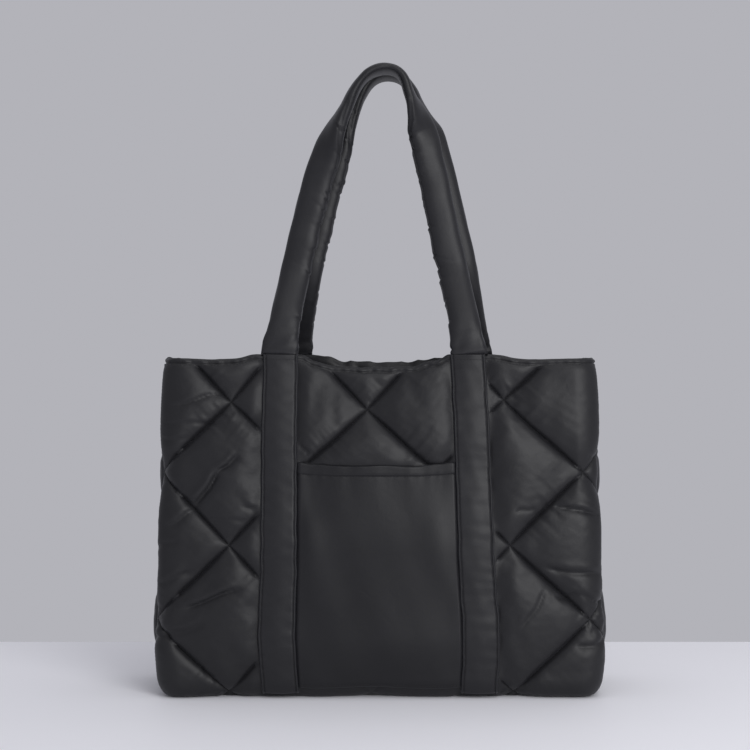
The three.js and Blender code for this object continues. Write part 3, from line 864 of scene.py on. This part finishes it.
def stitches(paths, pitch=3.4 * MM, thread=0.5 * MM):
    """Points and triangles of spindle-shaped stitches along paths, each a pair of points and normals."""
    sides = 5
    angles = np.arange(sides) * 2 * math.pi / sides
    ring = np.stack([np.cos(angles), np.sin(angles)], -1)
    starts, ends, outs = [], [], []
    for line, normal in paths:
        steps = np.linalg.norm(np.diff(line, axis=0), axis=1)
        run = np.concatenate([[0], np.cumsum(steps)])
        count = int(run[-1] / pitch)
        if count < 1:
            continue
        at = np.arange(count) * pitch + (run[-1] - count * pitch) / 2

        def along(where, values):
            return np.stack([np.interp(where, run, values[:, k]) for k in range(3)], -1)

        starts.append(along(at + 0.12 * pitch, line))
        ends.append(along(at + 0.88 * pitch, line))
        outs.append(unit(along(at + 0.5 * pitch, normal)))
    start, end, out = map(np.concatenate, (starts, ends, outs))
    way = unit(end - start)
    side = unit(np.cross(way, out))
    up = np.cross(side, way)
    lifted = out * thread * 0.3
    rings = []
    for part in (0.2, 0.8):
        centre = mix(start, end, part) + lifted
        spoke = ring[None, :, :1] * side[:, None] + ring[None, :, 1:] * up[:, None]
        rings.append(centre[:, None] + spoke * thread / 2)
    tips = [(start - out * thread * 0.2)[:, None], (end - out * thread * 0.2)[:, None]]
    points = np.concatenate([tips[0], rings[0], rings[1], tips[1]], 1)
    k = np.arange(sides)
    after = (k + 1) % sides
    faces = np.concatenate(
        [
            np.stack([np.zeros_like(k), 1 + after, 1 + k], -1),
            np.stack([1 + k, 1 + after, 1 + sides + after], -1),
            np.stack([1 + k, 1 + sides + after, 1 + sides + k], -1),
            np.stack([1 + sides + k, 1 + sides + after, np.full_like(k, 1 + 2 * sides)], -1),
        ]
    )
    each = points.shape[1]
    faces = faces[None] + np.arange(len(points))[:, None, None] * each
    return points.reshape(-1, 3), faces.reshape(-1, 3)


def add_stitching(name, paths, turned=False, thread=0.5 * MM):
    points, faces = stitches(paths, thread=thread)
    finish = bpy.context.scene.tote_finish
    spun = sewing_thread("sewing_thread", finish.thread)
    return add_piece(name, points, faces, points[:, :2], spun, turned)


def quilt_paths(shape, wall, grid, columns, rows):
    """The quilting's lines of stitching over a finished wall."""
    quilt, paths = shape.quilt, []
    above_pocket = shape.pocket.top + 3 * MM
    half, top = shape.halves[shape.kind(wall)], shape.wall_length
    shift = 0 if wall == "side" else quilt.shift
    span = int((half * 2) / quilt.diamond_width + top / quilt.diamond_height) + 2
    heights = np.linspace(0.012, top - quilt.hem, 260)
    w = (shape.height_of(heights) - quilt.raised) / quilt.diamond_height
    for sign in (-1, 1):
        for k in range(-span, span + 1):
            across = shift + (k + sign * w) * quilt.diamond_width
            seen = np.abs(across) < half - 3 * MM
            if wall != "side":
                seen &= shape.from_strap(across) > 1.5 * MM
            if wall == "front":
                seen &= (np.abs(across) > shape.strap_inner) | (shape.height_of(heights) > above_pocket)
            for run in np.split(np.arange(len(seen)), np.flatnonzero(np.diff(seen.astype(int))) + 1):
                if seen[run[0]] and len(run) > 5:
                    paths.append(sampled(grid, columns, rows, across[run], heights[run]))
    return paths


def quilted_wall(shape, wall, seed, folds):
    """Outer and inner grids of one wall, with its columns, its rows and its diagonals."""
    quilt = shape.quilt
    columns, rows = shape.columns(wall), shape.rows()
    across, up = np.meshgrid(columns, rows)
    half, top = shape.halves[shape.kind(wall)], shape.wall_length
    thickness = shape.outside(wall, across, up)
    near_line = np.minimum(*shape.from_line(wall, across, up))
    foot = 0.010
    edge = (np.abs(across) > half - 0.5 * MM) | (up < foot) | (up > top - quilt.hem - 0.1 * MM)
    held = (near_line < 0.35 / quilt.steps) | edge
    if wall != "side":
        held |= shape.from_strap(across) < 0.2 * MM
    if wall == "front":
        held |= shape.behind_pocket(across, up)
    risen = np.maximum(thickness - quilt.seam_out, 0) / quilt.puff_out
    plump = quilt.seam_out + PLUMP_AT_FIRST * quilt.puff_out * (1 - (1 - np.clip(risen, 0, 1)) ** 2)
    flat = edge | shape.pressed_flat(wall, across, up)
    start = shape.point(wall, across, up, np.where(flat, thickness, plump))
    normals = shape.normals(wall, across, up)
    outer = start
    lean_right = shape.lean_right(wall, columns, rows)
    uneven = 0.2 * MM * crumple(across, up, 0.035, seed) * ~held
    calm = ease(shape.fullness(wall, across, up) * 1.5 - 0.3)
    loose = settle(start + normals * uneven[..., None], held, calm, quilt)
    loose = capped(loose, start, normals, outwards=5 * MM, inwards=2 * MM, sideways=2 * MM)
    outer = smoothed(loose, held, rounds=4)
    inner = shape.point(wall, across, up, -shape.inside(wall, across, up))
    outer = finer(outer, lean_right)
    fine_columns, fine_rows = finer_lines(columns), finer_lines(rows)
    dress_wall(shape, wall, outer, fine_columns, fine_rows, seed, folds)
    finish_rim(shape, wall, outer, fine_columns, fine_rows, seed, 1)
    finish_rim(shape, wall, inner, columns, rows, seed, -1)
    return outer, inner, fine_columns, fine_rows, shape.lean_right(wall, fine_columns, fine_rows)


def dress_wall(shape, wall, outer, columns, rows, seed, folds):
    """Presses the sharp folds, the stitching's own groove and a light crumple into a wall."""
    quilt = shape.quilt
    across, up = np.meshgrid(columns, rows)
    half, top = shape.halves[shape.kind(wall)], shape.wall_length
    border = 4 * MM
    free = ease((half - np.abs(across)) / border) * ease((up - 6 * MM) / (6 * MM))
    free = free * ease((top - quilt.hem - up) / border)
    if wall != "side":
        free = free * ease(shape.from_strap(across) / border)
    if wall == "front":
        free = np.where(shape.behind_pocket(across, up), 0, free)
    room = 0.8 * (shape.outside(wall, across, up) - quilt.seam_out) + 1 * MM
    first, second = shape.from_line(wall, across, up)
    wide, high = quilt.diamond_width, quilt.diamond_height
    apart = wide * high / math.hypot(wide, high)
    off_line = np.minimum(first, second) * apart
    groove = quilt.groove * bell(off_line, quilt.groove_width)
    # Short puckers stand across the stitching and fade away from it
    along_first, along_second = shape.lattice(wall, across, up)[::-1]
    along_line = np.where(first < second, along_first, along_second) * apart
    puckers = wobble(along_line + (first < second) * 0.37, quilt.pucker_pitch, seed + 5)
    patchy = ease(crumple(across, up, 0.07, seed + 6) + 0.3)
    puckers = quilt.pucker * puckers * patchy * ease(off_line / (3 * MM))
    puckers = puckers * np.exp(-off_line / quilt.pucker_reach)
    light = 0.07 * MM * crumple(across, up, 0.012, seed + 9) * ease(off_line / (6 * MM))
    sharp = np.minimum(folded(across, shape.height_of(up), folds), room)
    outer -= shape.normals(wall, across, up) * ((sharp + groove + puckers + light) * free)[..., None]


def finish_rim(shape, wall, grid, columns, rows, seed, way):
    """Rounds the rim's turned hem and ruffles it between the straps. way is 1 for the outer grid and -1
    for the inner one."""
    quilt = shape.quilt
    across, up = np.meshgrid(columns, rows)
    from_rim = shape.wall_length - up
    loose = 1.0 if wall == "side" else ease(shape.from_strap(across) / (6 * MM))
    middle = 1.0 if wall == "side" else np.where(np.abs(across) < shape.strap_inner, 1, 0.35)
    waves = 0.6 * wobble(across, 0.034, seed + 1) + 0.8 - 1.3 * np.abs(wobble(across, 0.047, seed + 3))
    waves = waves * ease(1 - from_rim / (2.2 * quilt.hem)) * loose * middle
    roll = swell((from_rim + 0.02 * MM) / RIM_ROUND)
    if way > 0:
        plump = 1 + 0.5 * wobble(across, 0.013, seed + 2) * loose
        fold = ease(from_rim / (3 * MM)) * ease((quilt.hem - from_rim) / (3 * MM))
        thickness = np.maximum((quilt.seam_out + 1.6 * MM * plump * fold) * roll, 0.1 * MM)
        hem = from_rim < quilt.hem
    else:
        thickness = -np.maximum(quilt.seam_in * roll, 0.05 * MM)
        hem = from_rim < RIM_ROUND
    grid[hem] = shape.point(wall, across, up, thickness)[hem]
    grid[..., 2] = np.maximum(grid[..., 2] + quilt.ruffle * waves, shape.body.floor_gap)
    if wall != "side":
        grid[..., 1] += 1.2 * MM * waves


class TOTE_OT_walls(bpy.types.Operator):
    """Builds the four quilted walls and their stitching"""

    bl_idname = "tote.walls"
    bl_label = "Quilted Walls"

    def execute(self, context):
        shape, finish = Shape(context.scene), context.scene.tote_finish
        cloth = nylon("quilted_nylon", finish.shell, finish)
        for name, wall, node, turned, seed, folds in (
            ("front_quilted_wall", "front", "front_panel", False, 11, FRONT_FOLDS),
            ("back_quilted_wall", "back", "back_panel", True, 23, BACK_FOLDS),
            ("right_quilted_side", "side", "right_gusset", False, 37, SIDE_FOLDS),
            ("left_quilted_side", "side", "left_gusset", True, 53, mirrored(SIDE_FOLDS)),
        ):
            outer, inner, columns, rows, leans = quilted_wall(shape, wall, seed, folds)
            place = shape.place(turned)
            points, faces = slab(outer + place, inner + place, leans)
            places = np.stack(np.meshgrid(columns, rows), -1)
            places = np.concatenate([places.reshape(-1, 2), places[::2, ::2].reshape(-1, 2)])
            grid = np.meshgrid(columns, rows)
            creased = np.minimum(*shape.from_line(wall, *grid)) < 0.1 / shape.quilt.steps
            if wall != "side":
                creased &= shape.from_strap(grid[0]) > 1 * MM
            piece = add_piece(name, points, faces, places, cloth, turned, creased.ravel())
            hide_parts(node)
            paths = quilt_paths(shape, wall, outer + place, columns, rows)
            hem = np.linspace(columns[0] + 2 * MM, columns[-1] - 2 * MM, 300)
            hem_up = np.full_like(hem, shape.wall_length - shape.quilt.hem)
            paths.append(sampled(outer + place, columns, rows, hem, hem_up))
            add_stitching(name.replace("quilted", "stitched"), paths, turned, 0.32 * MM)
        return {"FINISHED"}


class TOTE_OT_base(bpy.types.Operator):
    """Builds the quilted base that the bag rests on"""

    bl_idname = "tote.base"
    bl_label = "Quilted Base"

    def execute(self, context):
        shape, finish = Shape(context.scene), context.scene.tote_finish
        body, quilt = shape.body, shape.quilt
        border = body.edge_radius + quilt.seam_gap
        half_x, half_y = body.width / 2 - border, body.base_depth / 2 - border
        steps = 36
        columns = grid_lines(-half_x, half_x, 0, quilt.diamond_width / steps)
        rows = grid_lines(-half_y, half_y, 0, quilt.diamond_height / steps)
        x, y = np.meshgrid(columns, rows)
        corner = (np.abs(x) > half_x - MM) & (np.abs(y) > half_y - MM)
        cut = np.where(corner, body.foot_corner, 0)
        u, w = x / quilt.diamond_width, y / quilt.diamond_height
        pattern = np.sqrt(np.abs(np.sin(math.pi * (u - w)) * np.sin(math.pi * (u + w))))
        risen = pattern * swell((half_x - np.abs(x)) / quilt.seam_reach)
        risen = risen * swell((half_y - np.abs(y)) / quilt.seam_reach)
        ripple = 1 + 0.08 * wobble(x + 0.4 * y, 0.021, 71) * risen
        padding = (quilt.puff_in + quilt.puff_out / 2) * risen * ripple
        top = body.floor_gap + quilt.seam_out + quilt.seam_in + padding
        across, deep = x - np.sign(x) * cut, y - np.sign(y) * cut
        # Stitching draws the cloth up a little from the floor
        seam_lift = 0.6 * MM * (1 - np.clip(risen * 4, 0, 1))
        outer = np.stack([across, deep, top], -1) + shape.middle
        inner = np.stack([across, deep, seam_lift], -1) + shape.middle
        points, faces = slab(outer, inner, np.abs((u - w) - np.round(u - w))[:-1, :-1] < 0.25)
        places = np.stack([x, y], -1).reshape(-1, 2)
        cloth = nylon("quilted_nylon", finish.shell, finish)
        piece = add_piece("quilted_base", points, faces, twice(places), cloth)
        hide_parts("base_panel")
        return {"FINISHED"}


class TOTE_OT_straps(bpy.types.Operator):
    """Builds the flat straps and the stitching along their edges"""

    bl_idname = "tote.straps"
    bl_label = "Flat Straps"

    def execute(self, context):
        shape, finish = Shape(context.scene), context.scene.tote_finish
        straps, quilt = shape.straps, shape.quilt
        cloth = nylon("strap_nylon", finish.strap, finish, 0.6)
        half = straps.width / 2 - quilt.seam_gap
        inset = straps.stitch_inset
        by_stitches = inset + np.array([-0.9, -0.45, 0, 0.45, 0.9]) * MM
        edge = np.array([0, 0.25 * MM, 0.8 * MM, 1.6 * MM, *by_stitches, 5.4 * MM])
        inner = half - 7.5 * MM
        across_strap = np.concatenate([edge - half, np.linspace(-inner, inner, 10), (half - edge)[::-1]])
        rows = finer_lines(shape.rows()[shape.rows() >= shape.foot_length / 2])
        offs, up = np.meshgrid(across_strap, rows)
        from_edge = half - np.abs(offs)
        bed = quilt.seam_out + straps.bed + quilt.seam_gap
        rounded = np.maximum(swell(from_edge / (1.6 * MM)), 0.06)
        welt = 0.5 * MM * bell(from_edge - 1.5 * MM, 1.0 * MM)
        groove = 1.0 * MM * bell(from_edge - inset, 0.6 * MM)
        near_stitching = np.exp(-np.abs(from_edge - inset) / (2.5 * MM))
        end = swell((shape.wall_length - up + 0.3 * MM) / (1.6 * MM))
        for wall, turned in (("front", False), ("back", True)):
            place = shape.place(turned)
            for name, way in (("left", -1), ("right", 1)):
                middle = (-way if turned else way) * straps.spacing / 2
                seed = 100 + 7 * way + 30 * turned
                slack = 0.35 * MM * wobble(up + 0.25 * offs, 0.06, seed)
                slack = slack + 0.18 * MM * crumple(offs, up * 1.6, 0.02, seed + 3)
                puckers = 0.22 * MM * wobble(up, 0.010, seed + 1 + (offs > 0)) * near_stitching
                full = (slack + puckers) * swell(from_edge / (4 * MM))
                full = straps.fullness * crown(offs / half) + full
                thick = np.maximum((straps.thickness + full + welt) * rounded * end - groove, 0.15 * MM)
                across = middle + offs + 0.4 * MM * wobble(up, 0.035, seed + 2) * ease(np.abs(offs) / half)
                outer = shape.point(wall, across, up, bed + thick) + place
                under = shape.point(wall, across, up, np.full_like(across, bed)) + place
                points, faces = slab(outer, under)
                places = twice(np.stack([offs, up], -1).reshape(-1, 2))
                band = f"{wall}_strap_band_{name}"
                piece = add_piece(band, points, faces, places, cloth, turned)
                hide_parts(f"{wall}_strap_{name}")
                line = np.linspace(rows[0] + 2 * MM, rows[-1] - 2 * MM, 200)
                sides = [np.full_like(line, way * (half - inset)) for way in (-1, 1)]
                paths = [sampled(outer, across_strap, rows, side, line) for side in sides]
                level = np.linspace(inset - half, half - inset, 30)
                below_rim = np.full_like(level, rows[-1] - 6 * MM)
                paths.append(sampled(outer, across_strap, rows, level, below_rim))
                add_stitching(f"{wall}_strap_stitching_{name}", paths, turned)
        return {"FINISHED"}


def stretched_over(heights, rounds=300):
    """The heights of a taut cloth over a bumpy bed, held down along the bed's edge."""
    cloth = heights.copy()
    for _ in range(rounds):
        around = cloth[:-2, 1:-1] + cloth[2:, 1:-1] + cloth[1:-1, :-2] + cloth[1:-1, 2:]
        cloth[1:-1, 1:-1] = np.maximum(around / 4, heights[1:-1, 1:-1])
        cloth[-1] = np.maximum(cloth[-2], heights[-1])
    return cloth


class TOTE_OT_pocket(bpy.types.Operator):
    """Builds the patch pocket, its hem and its stitching"""

    bl_idname = "tote.pocket"
    bl_label = "Patch Pocket"

    def execute(self, context):
        shape, finish = Shape(context.scene), context.scene.tote_finish
        pocket, quilt, straps = shape.pocket, shape.quilt, shape.straps
        cloth = nylon("pocket_nylon", finish.pocket, finish, 0.7)
        low, high = shape.up_of(pocket.bottom), shape.up_of(pocket.top)
        hem_line = high - pocket.hem
        edge = shape.strap_inner
        steps = 48
        columns = grid_lines(-edge, edge, quilt.shift, quilt.diamond_width / steps)
        fine = 0.7 * MM
        named = [low + 0.4 * MM, low + 1.2 * MM, low + 2.5 * MM]
        named += [hem_line - fine, hem_line, hem_line + fine]
        named += [high - 0.3 * MM, high - 1.0 * MM, high - 2.0 * MM]
        rows = grid_lines(low, high, low, quilt.diamond_height / steps, named)
        across, up = np.meshgrid(columns, rows)
        stretched = pocket.fullness * crown(across / edge) * swell((up - low) / quilt.seam_reach)
        padded = shape.outside("front", across, up) - quilt.seam_out
        under = quilt.seam_out + quilt.seam_gap + stretched_over(np.maximum(stretched, padded))
        # Soft dents and folds where the cloth hangs between its sewn edges
        free = ease((edge - np.abs(across)) / 0.014) * ease((up - low) / 0.02)
        drape = 0.7 * wobble(across + 0.35 * up, 0.062, 201) + 0.5 * wobble(up - 0.2 * across, 0.075, 202)
        near_mouth = np.exp(-(high - up) / 0.03)
        drape = drape + near_mouth * 0.35 * wobble(across, 0.028, 203)
        hem = pocket.hem_thickness * ease((up - hem_line) / (1.2 * MM))
        gathers = 0.4 * MM * wobble(across, 0.009, 204) * np.exp(-np.abs(up - hem_line) / (4 * MM))
        gathers = gathers * ease((edge - np.abs(across)) / (6 * MM))
        groove = 0.5 * MM * bell(up - hem_line, fine)
        surface = under + pocket.thickness + hem + 0.8 * MM * drape * free + gathers - groove
        surface = np.maximum(surface, under + 0.5 * MM)
        rolled = swell((high - up + 0.03 * MM) / (2.0 * MM)) * swell((up - low + 0.03 * MM) / (1.5 * MM))
        top = under + np.maximum((surface - under) * rolled, 0.1 * MM)
        mouth_wave = 0.5 * MM * wobble(across, 0.05, 205) * ease((up - hem_line) / pocket.hem)
        outer = shape.point("front", across, up + mouth_wave, top) + shape.middle
        inner = shape.point("front", across, up + mouth_wave, under) + shape.middle
        points, faces = slab(outer, inner)
        places = twice(np.stack([across, up], -1).reshape(-1, 2))
        piece = add_piece("patch_pocket", points, faces, places, cloth)
        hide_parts("front_pocket")
        paths = []
        line = np.linspace(-edge + MM, edge - MM, 160)
        for level in (hem_line, low + 3 * MM):
            paths.append(sampled(outer, columns, rows, line, np.full_like(line, level)))
        add_stitching("pocket_stitching", paths)
        return {"FINISHED"}


def smooth_line(points, samples):
    """A curve through all the points, at even distances along it."""
    ends = [2 * points[0] - points[1], *points, 2 * points[-1] - points[-2]]
    dense = []
    for a, b, c, d in zip(ends, ends[1:], ends[2:], ends[3:]):
        steps = [max(np.linalg.norm(after - before), 1e-9) for before, after in ((a, b), (b, c), (c, d))]
        knots = np.cumsum([0, *(step**0.5 for step in steps)])
        t = np.linspace(knots[1], knots[2], 40, endpoint=False)[:, None]

        def between(p, q, i, j):
            return p * (knots[j] - t) / (knots[j] - knots[i]) + q * (t - knots[i]) / (knots[j] - knots[i])

        near, middle, far = between(a, b, 0, 1), between(b, c, 1, 2), between(c, d, 2, 3)
        dense.append(between(between(near, middle, 0, 2), between(middle, far, 1, 3), 1, 2))
    dense = np.concatenate([*dense, points[-1:]])
    run = np.concatenate([[0], np.cumsum(np.linalg.norm(np.diff(dense, axis=0), axis=1))])
    at = np.linspace(0, run[-1], samples)
    return np.stack([np.interp(at, run, dense[:, k]) for k in range(3)], -1), at


def padded_tube(shape, side, crown_place, seed):
    """A handle's grid of points, sections along it by sides round it, with its places along the cloth."""
    handles, straps, quilt = shape.handles, shape.straps, shape.quilt
    wall = "front" if side < 0 else "back"
    strap_top = shape.surface(wall, np.array(straps.spacing / 2), np.array(shape.wall_length))
    bed_top = quilt.seam_out + straps.bed + quilt.seam_gap + straps.thickness
    sewn_y = side * (abs(strap_top[1]) + (bed_top - quilt.seam_in) / 2)
    sewn_z = strap_top[2] + quilt.seam_gap / 5
    half_spacing = (straps.spacing - straps.closing) / 2
    rise, spread, leaning = (np.array(HANDLE_LINE[name]) for name in ("rise", "spread", "lean"))
    middle = mix(-side * straps.lean, crown_place, leaning)
    left_leg, right_leg = (
        np.stack([way * spread * half_spacing + middle, 0 * rise, rise * handles.rise], -1)
        for way in (-1, 1)
    )
    line, run = smooth_line(np.concatenate([left_leg, right_leg[-2::-1]]), handles.steps + 1)
    height = np.clip(line[:, 2] / handles.rise, 0, 1)
    swollen = flowing(HANDLE_SECTIONS, "rise", "swell", height)
    left, right = (flowing(HANDLE_SECTIONS, "rise", leg, height) for leg in ("left", "right"))
    turn = math.pi / 2 * np.where(run < run[-1] / 2, left, right)
    width = mix(straps.width, handles.width, swollen) / 2
    thick = mix(handles.sewn_thickness, handles.thickness, swollen) / 2
    angles = np.arange(handles.sides) * 2 * math.pi / handles.sides
    power = 2 / handles.squareness
    x, y = (np.sign(f(angles)) * np.abs(f(angles)) ** power for f in (np.cos, np.sin))
    reach = (x * (width * np.sin(turn))[:, None] + y * (thick * np.cos(turn))[:, None]).max(1)
    closeness = np.clip(line[:, 2] / handles.gather, 0, 1)
    gathered = closeness**3 * (closeness * (closeness * 6 - 15) + 10)
    gathered = mix(ease(closeness), gathered, closeness)
    line[:, 1] = mix(sewn_y, side * (reach + handles.gap / 2), gathered)
    line[:, 2] += sewn_z
    ahead = unit(np.gradient(line, axis=0))
    ahead[0], ahead[-1] = (0, 0, 1), (0, 0, -1)
    outward = unit(np.cross(ahead, [0, 1, 0]))
    deep = np.cross(outward, ahead)
    # The seam runs along the inner edge, where the cloth is drawn in and puckered here and there
    girth = (width + thick)[:, None] / 2
    round_place = angles[None] * girth
    seam_angle = math.pi * 1.04
    from_seam = np.abs((angles[None] - seam_angle + math.pi) % (2 * math.pi) - math.pi) * girth
    along = run[:, None]
    to_foot = np.minimum(run, run[-1] - run)[:, None]
    loose = ease(to_foot / 0.01)
    random = np.random.default_rng(seed)
    notched = 0
    for place in np.cumsum(random.uniform(0.012, 0.034, 40)):
        wide = random.uniform(0.9, 1.6) * MM
        deep_in = random.uniform(1.0, 3.4)
        skew = random.uniform(-0.7, 0.7)
        at = (along - place + skew * from_seam) / wide
        notched = notched + deep_in * (np.exp(-(at**2)) - 0.4 * np.exp(-(((at - 2.4) / 1.6) ** 2)))
    notched = notched * np.exp(-from_seam / 0.006)
    soft = 0.45 * wobble(along, 0.02, seed + 1) * np.exp(-from_seam / 0.012)
    creases = 0.45 * crumple(round_place * 0.8, along, 0.045, seed + 2)
    bunched = 1.3 * wobble(round_place + 0.4 * along, 0.015, seed + 5)
    bunched = bunched + 0.9 * wobble(along + 0.3 * round_place, 0.012, seed + 6)
    bunched = bunched * np.exp(-to_foot / 0.018)
    groove = 1.1 * bell(from_seam, 1.4 * MM)
    # Over the crown the seam turns up and out of sight
    seam_shown = 1 - ease((height - 0.84) / 0.1)[:, None]
    push = MM * loose * (soft + creases + bunched - (notched + groove) * seam_shown)
    w = x * (width[:, None] + push)
    t = y * (thick[:, None] + push)
    cosine, sine = np.cos(turn)[:, None], np.sin(turn)[:, None]
    grid = line[:, None] + outward[:, None] * (w * cosine - t * sine)[..., None]
    grid = grid + deep[:, None] * (w * sine + t * cosine)[..., None]
    places = np.stack([round_place, np.broadcast_to(along, round_place.shape)], -1)
    return grid + shape.middle, places


class TOTE_OT_handles(bpy.types.Operator):
    """Builds the two padded handles"""

    bl_idname = "tote.handles"
    bl_label = "Padded Handles"

    def execute(self, context):
        shape, finish = Shape(context.scene), context.scene.tote_finish
        cloth = nylon("handle_nylon", finish.handle, finish, 0.9)
        for name, node, side, crown_place, seed in (
            ("front_padded_handle", "front_handle", -1, shape.handles.front_crown, 301),
            ("back_padded_handle", "back_handle", 1, shape.handles.back_crown, 331),
        ):
            grid, places = padded_tube(shape, side, crown_place, seed)
            steps, sides = grid.shape[:2]
            index = np.arange(steps * sides).reshape(steps, sides)
            around = np.roll(index, -1, axis=1)
            a, b, c, d = index[:-1], index[1:], around[1:], around[:-1]
            walls = np.concatenate([np.stack(three, -1).reshape(-1, 3) for three in ((a, b, c), (a, c, d))])
            centres = grid[[0, -1]].mean(1)
            low, high = steps * sides, steps * sides + 1
            caps = [np.stack([np.full(sides, low), index[0], around[0]], -1)]
            caps.append(np.stack([np.full(sides, high), around[-1], index[-1]], -1))
            points = np.concatenate([grid.reshape(-1, 3), centres])
            cloth_places = np.concatenate([places.reshape(-1, 2), np.zeros((2, 2))])
            faces = np.concatenate([walls, *caps])
            piece = add_piece(name, points, faces, cloth_places, cloth)
            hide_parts(node)
        return {"FINISHED"}


class TOTE_OT_stage(bpy.types.Operator):
    """Adds the pale floor, the soft light and the camera"""

    bl_idname = "tote.stage"
    bl_label = "Floor, Light and Camera"

    def execute(self, context):
        scene, stage = context.scene, context.scene.tote_stage
        half, end = 4.0, stage.floor_end
        mesh = bpy.data.meshes.new("floor")
        corners = [(-half, -half, 0), (half, -half, 0), (half, end, 0), (-half, end, 0)]
        mesh.from_pydata(corners, [], [(0, 1, 2, 3)])
        floor = bpy.data.objects.new("floor", mesh)
        scene.collection.objects.link(floor)
        shader = Shader("pale_floor")
        solid = shader.node("ShaderNodeTexCoord", {}, {}, "Object")
        roughness = 0.55 + shader.noise(solid, 3.0) * 0.1
        mesh.materials.append(shader.finish({"Base Color": (*stage.floor, 1), "Roughness": roughness}))
        world = bpy.data.worlds.new("soft_surroundings")
        scene.world = world
        world.use_nodes = True
        background = world.node_tree.nodes["Background"]
        background.inputs["Color"].default_value = (*stage.sky, 1)
        background.inputs["Strength"].default_value = stage.sky_strength
        aim = Vector((0, 0, 0.25))
        for name, place, size, power in (
            ("key_light", (1.0, -1.9, 0.85), 1.05, stage.key),
            ("high_light", (0.5, -1.6, 2.2), 1.0, stage.high),
            ("top_light", (0.2, 0.0, 2.1), 1.5, stage.fill),
        ):
            light = bpy.data.lights.new(name, "AREA")
            light.size, light.energy = size, power
            lamp = bpy.data.objects.new(name, light)
            lamp.location = place
            lamp.rotation_euler = (aim - Vector(place)).to_track_quat("-Z", "Y").to_euler()
            lamp.visible_camera = False
            scene.collection.objects.link(lamp)
        camera = bpy.data.cameras.new("camera")
        camera.lens, camera.sensor_width = stage.lens, 36
        viewer = bpy.data.objects.new("camera", camera)
        viewer.location = (stage.camera_side, -stage.distance, stage.camera_height)
        viewer.rotation_euler = (math.pi / 2, 0, 0)
        scene.collection.objects.link(viewer)
        scene.camera = viewer
        scene.view_settings.view_transform = "Standard"
        return {"FINISHED"}


GROUPS = {
    "tote_body": ToteBody,
    "tote_quilting": ToteQuilting,
    "tote_straps": ToteStraps,
    "tote_pocket": TotePocket,
    "tote_handles": ToteHandles,
    "tote_finish": ToteFinish,
    "tote_stage": ToteStage,
}
OPERATORS = (TOTE_OT_walls, TOTE_OT_base, TOTE_OT_straps, TOTE_OT_pocket, TOTE_OT_handles, TOTE_OT_stage)


class TOTE_PT_sidebar(bpy.types.Panel):
    """Lists the tote's pieces and sizes"""

    bl_label = "Puffer Tote Bag"
    bl_space_type = "VIEW_3D"
    bl_region_type = "UI"
    bl_category = "Tote"

    def draw(self, context):
        for operator in OPERATORS:
            self.layout.operator(operator.bl_idname)
        for name, group in GROUPS.items():
            box = self.layout.box()
            box.label(text=group.__doc__)
            for size in group.__annotations__:
                box.prop(getattr(context.scene, name), size)


def register():
    for known in (*GROUPS.values(), *OPERATORS, TOTE_PT_sidebar):
        bpy.utils.register_class(known)
    for name, group in GROUPS.items():
        setattr(bpy.types.Scene, name, PointerProperty(type=group))


def unregister():
    for name in GROUPS:
        delattr(bpy.types.Scene, name)
    for known in (TOTE_PT_sidebar, *OPERATORS, *GROUPS.values()):
        bpy.utils.unregister_class(known)


def main():
    register()
    for operator in OPERATORS:
        group, name = operator.bl_idname.split(".")
        getattr(getattr(bpy.ops, group), name)()


if __name__ == "__main__":
    main()
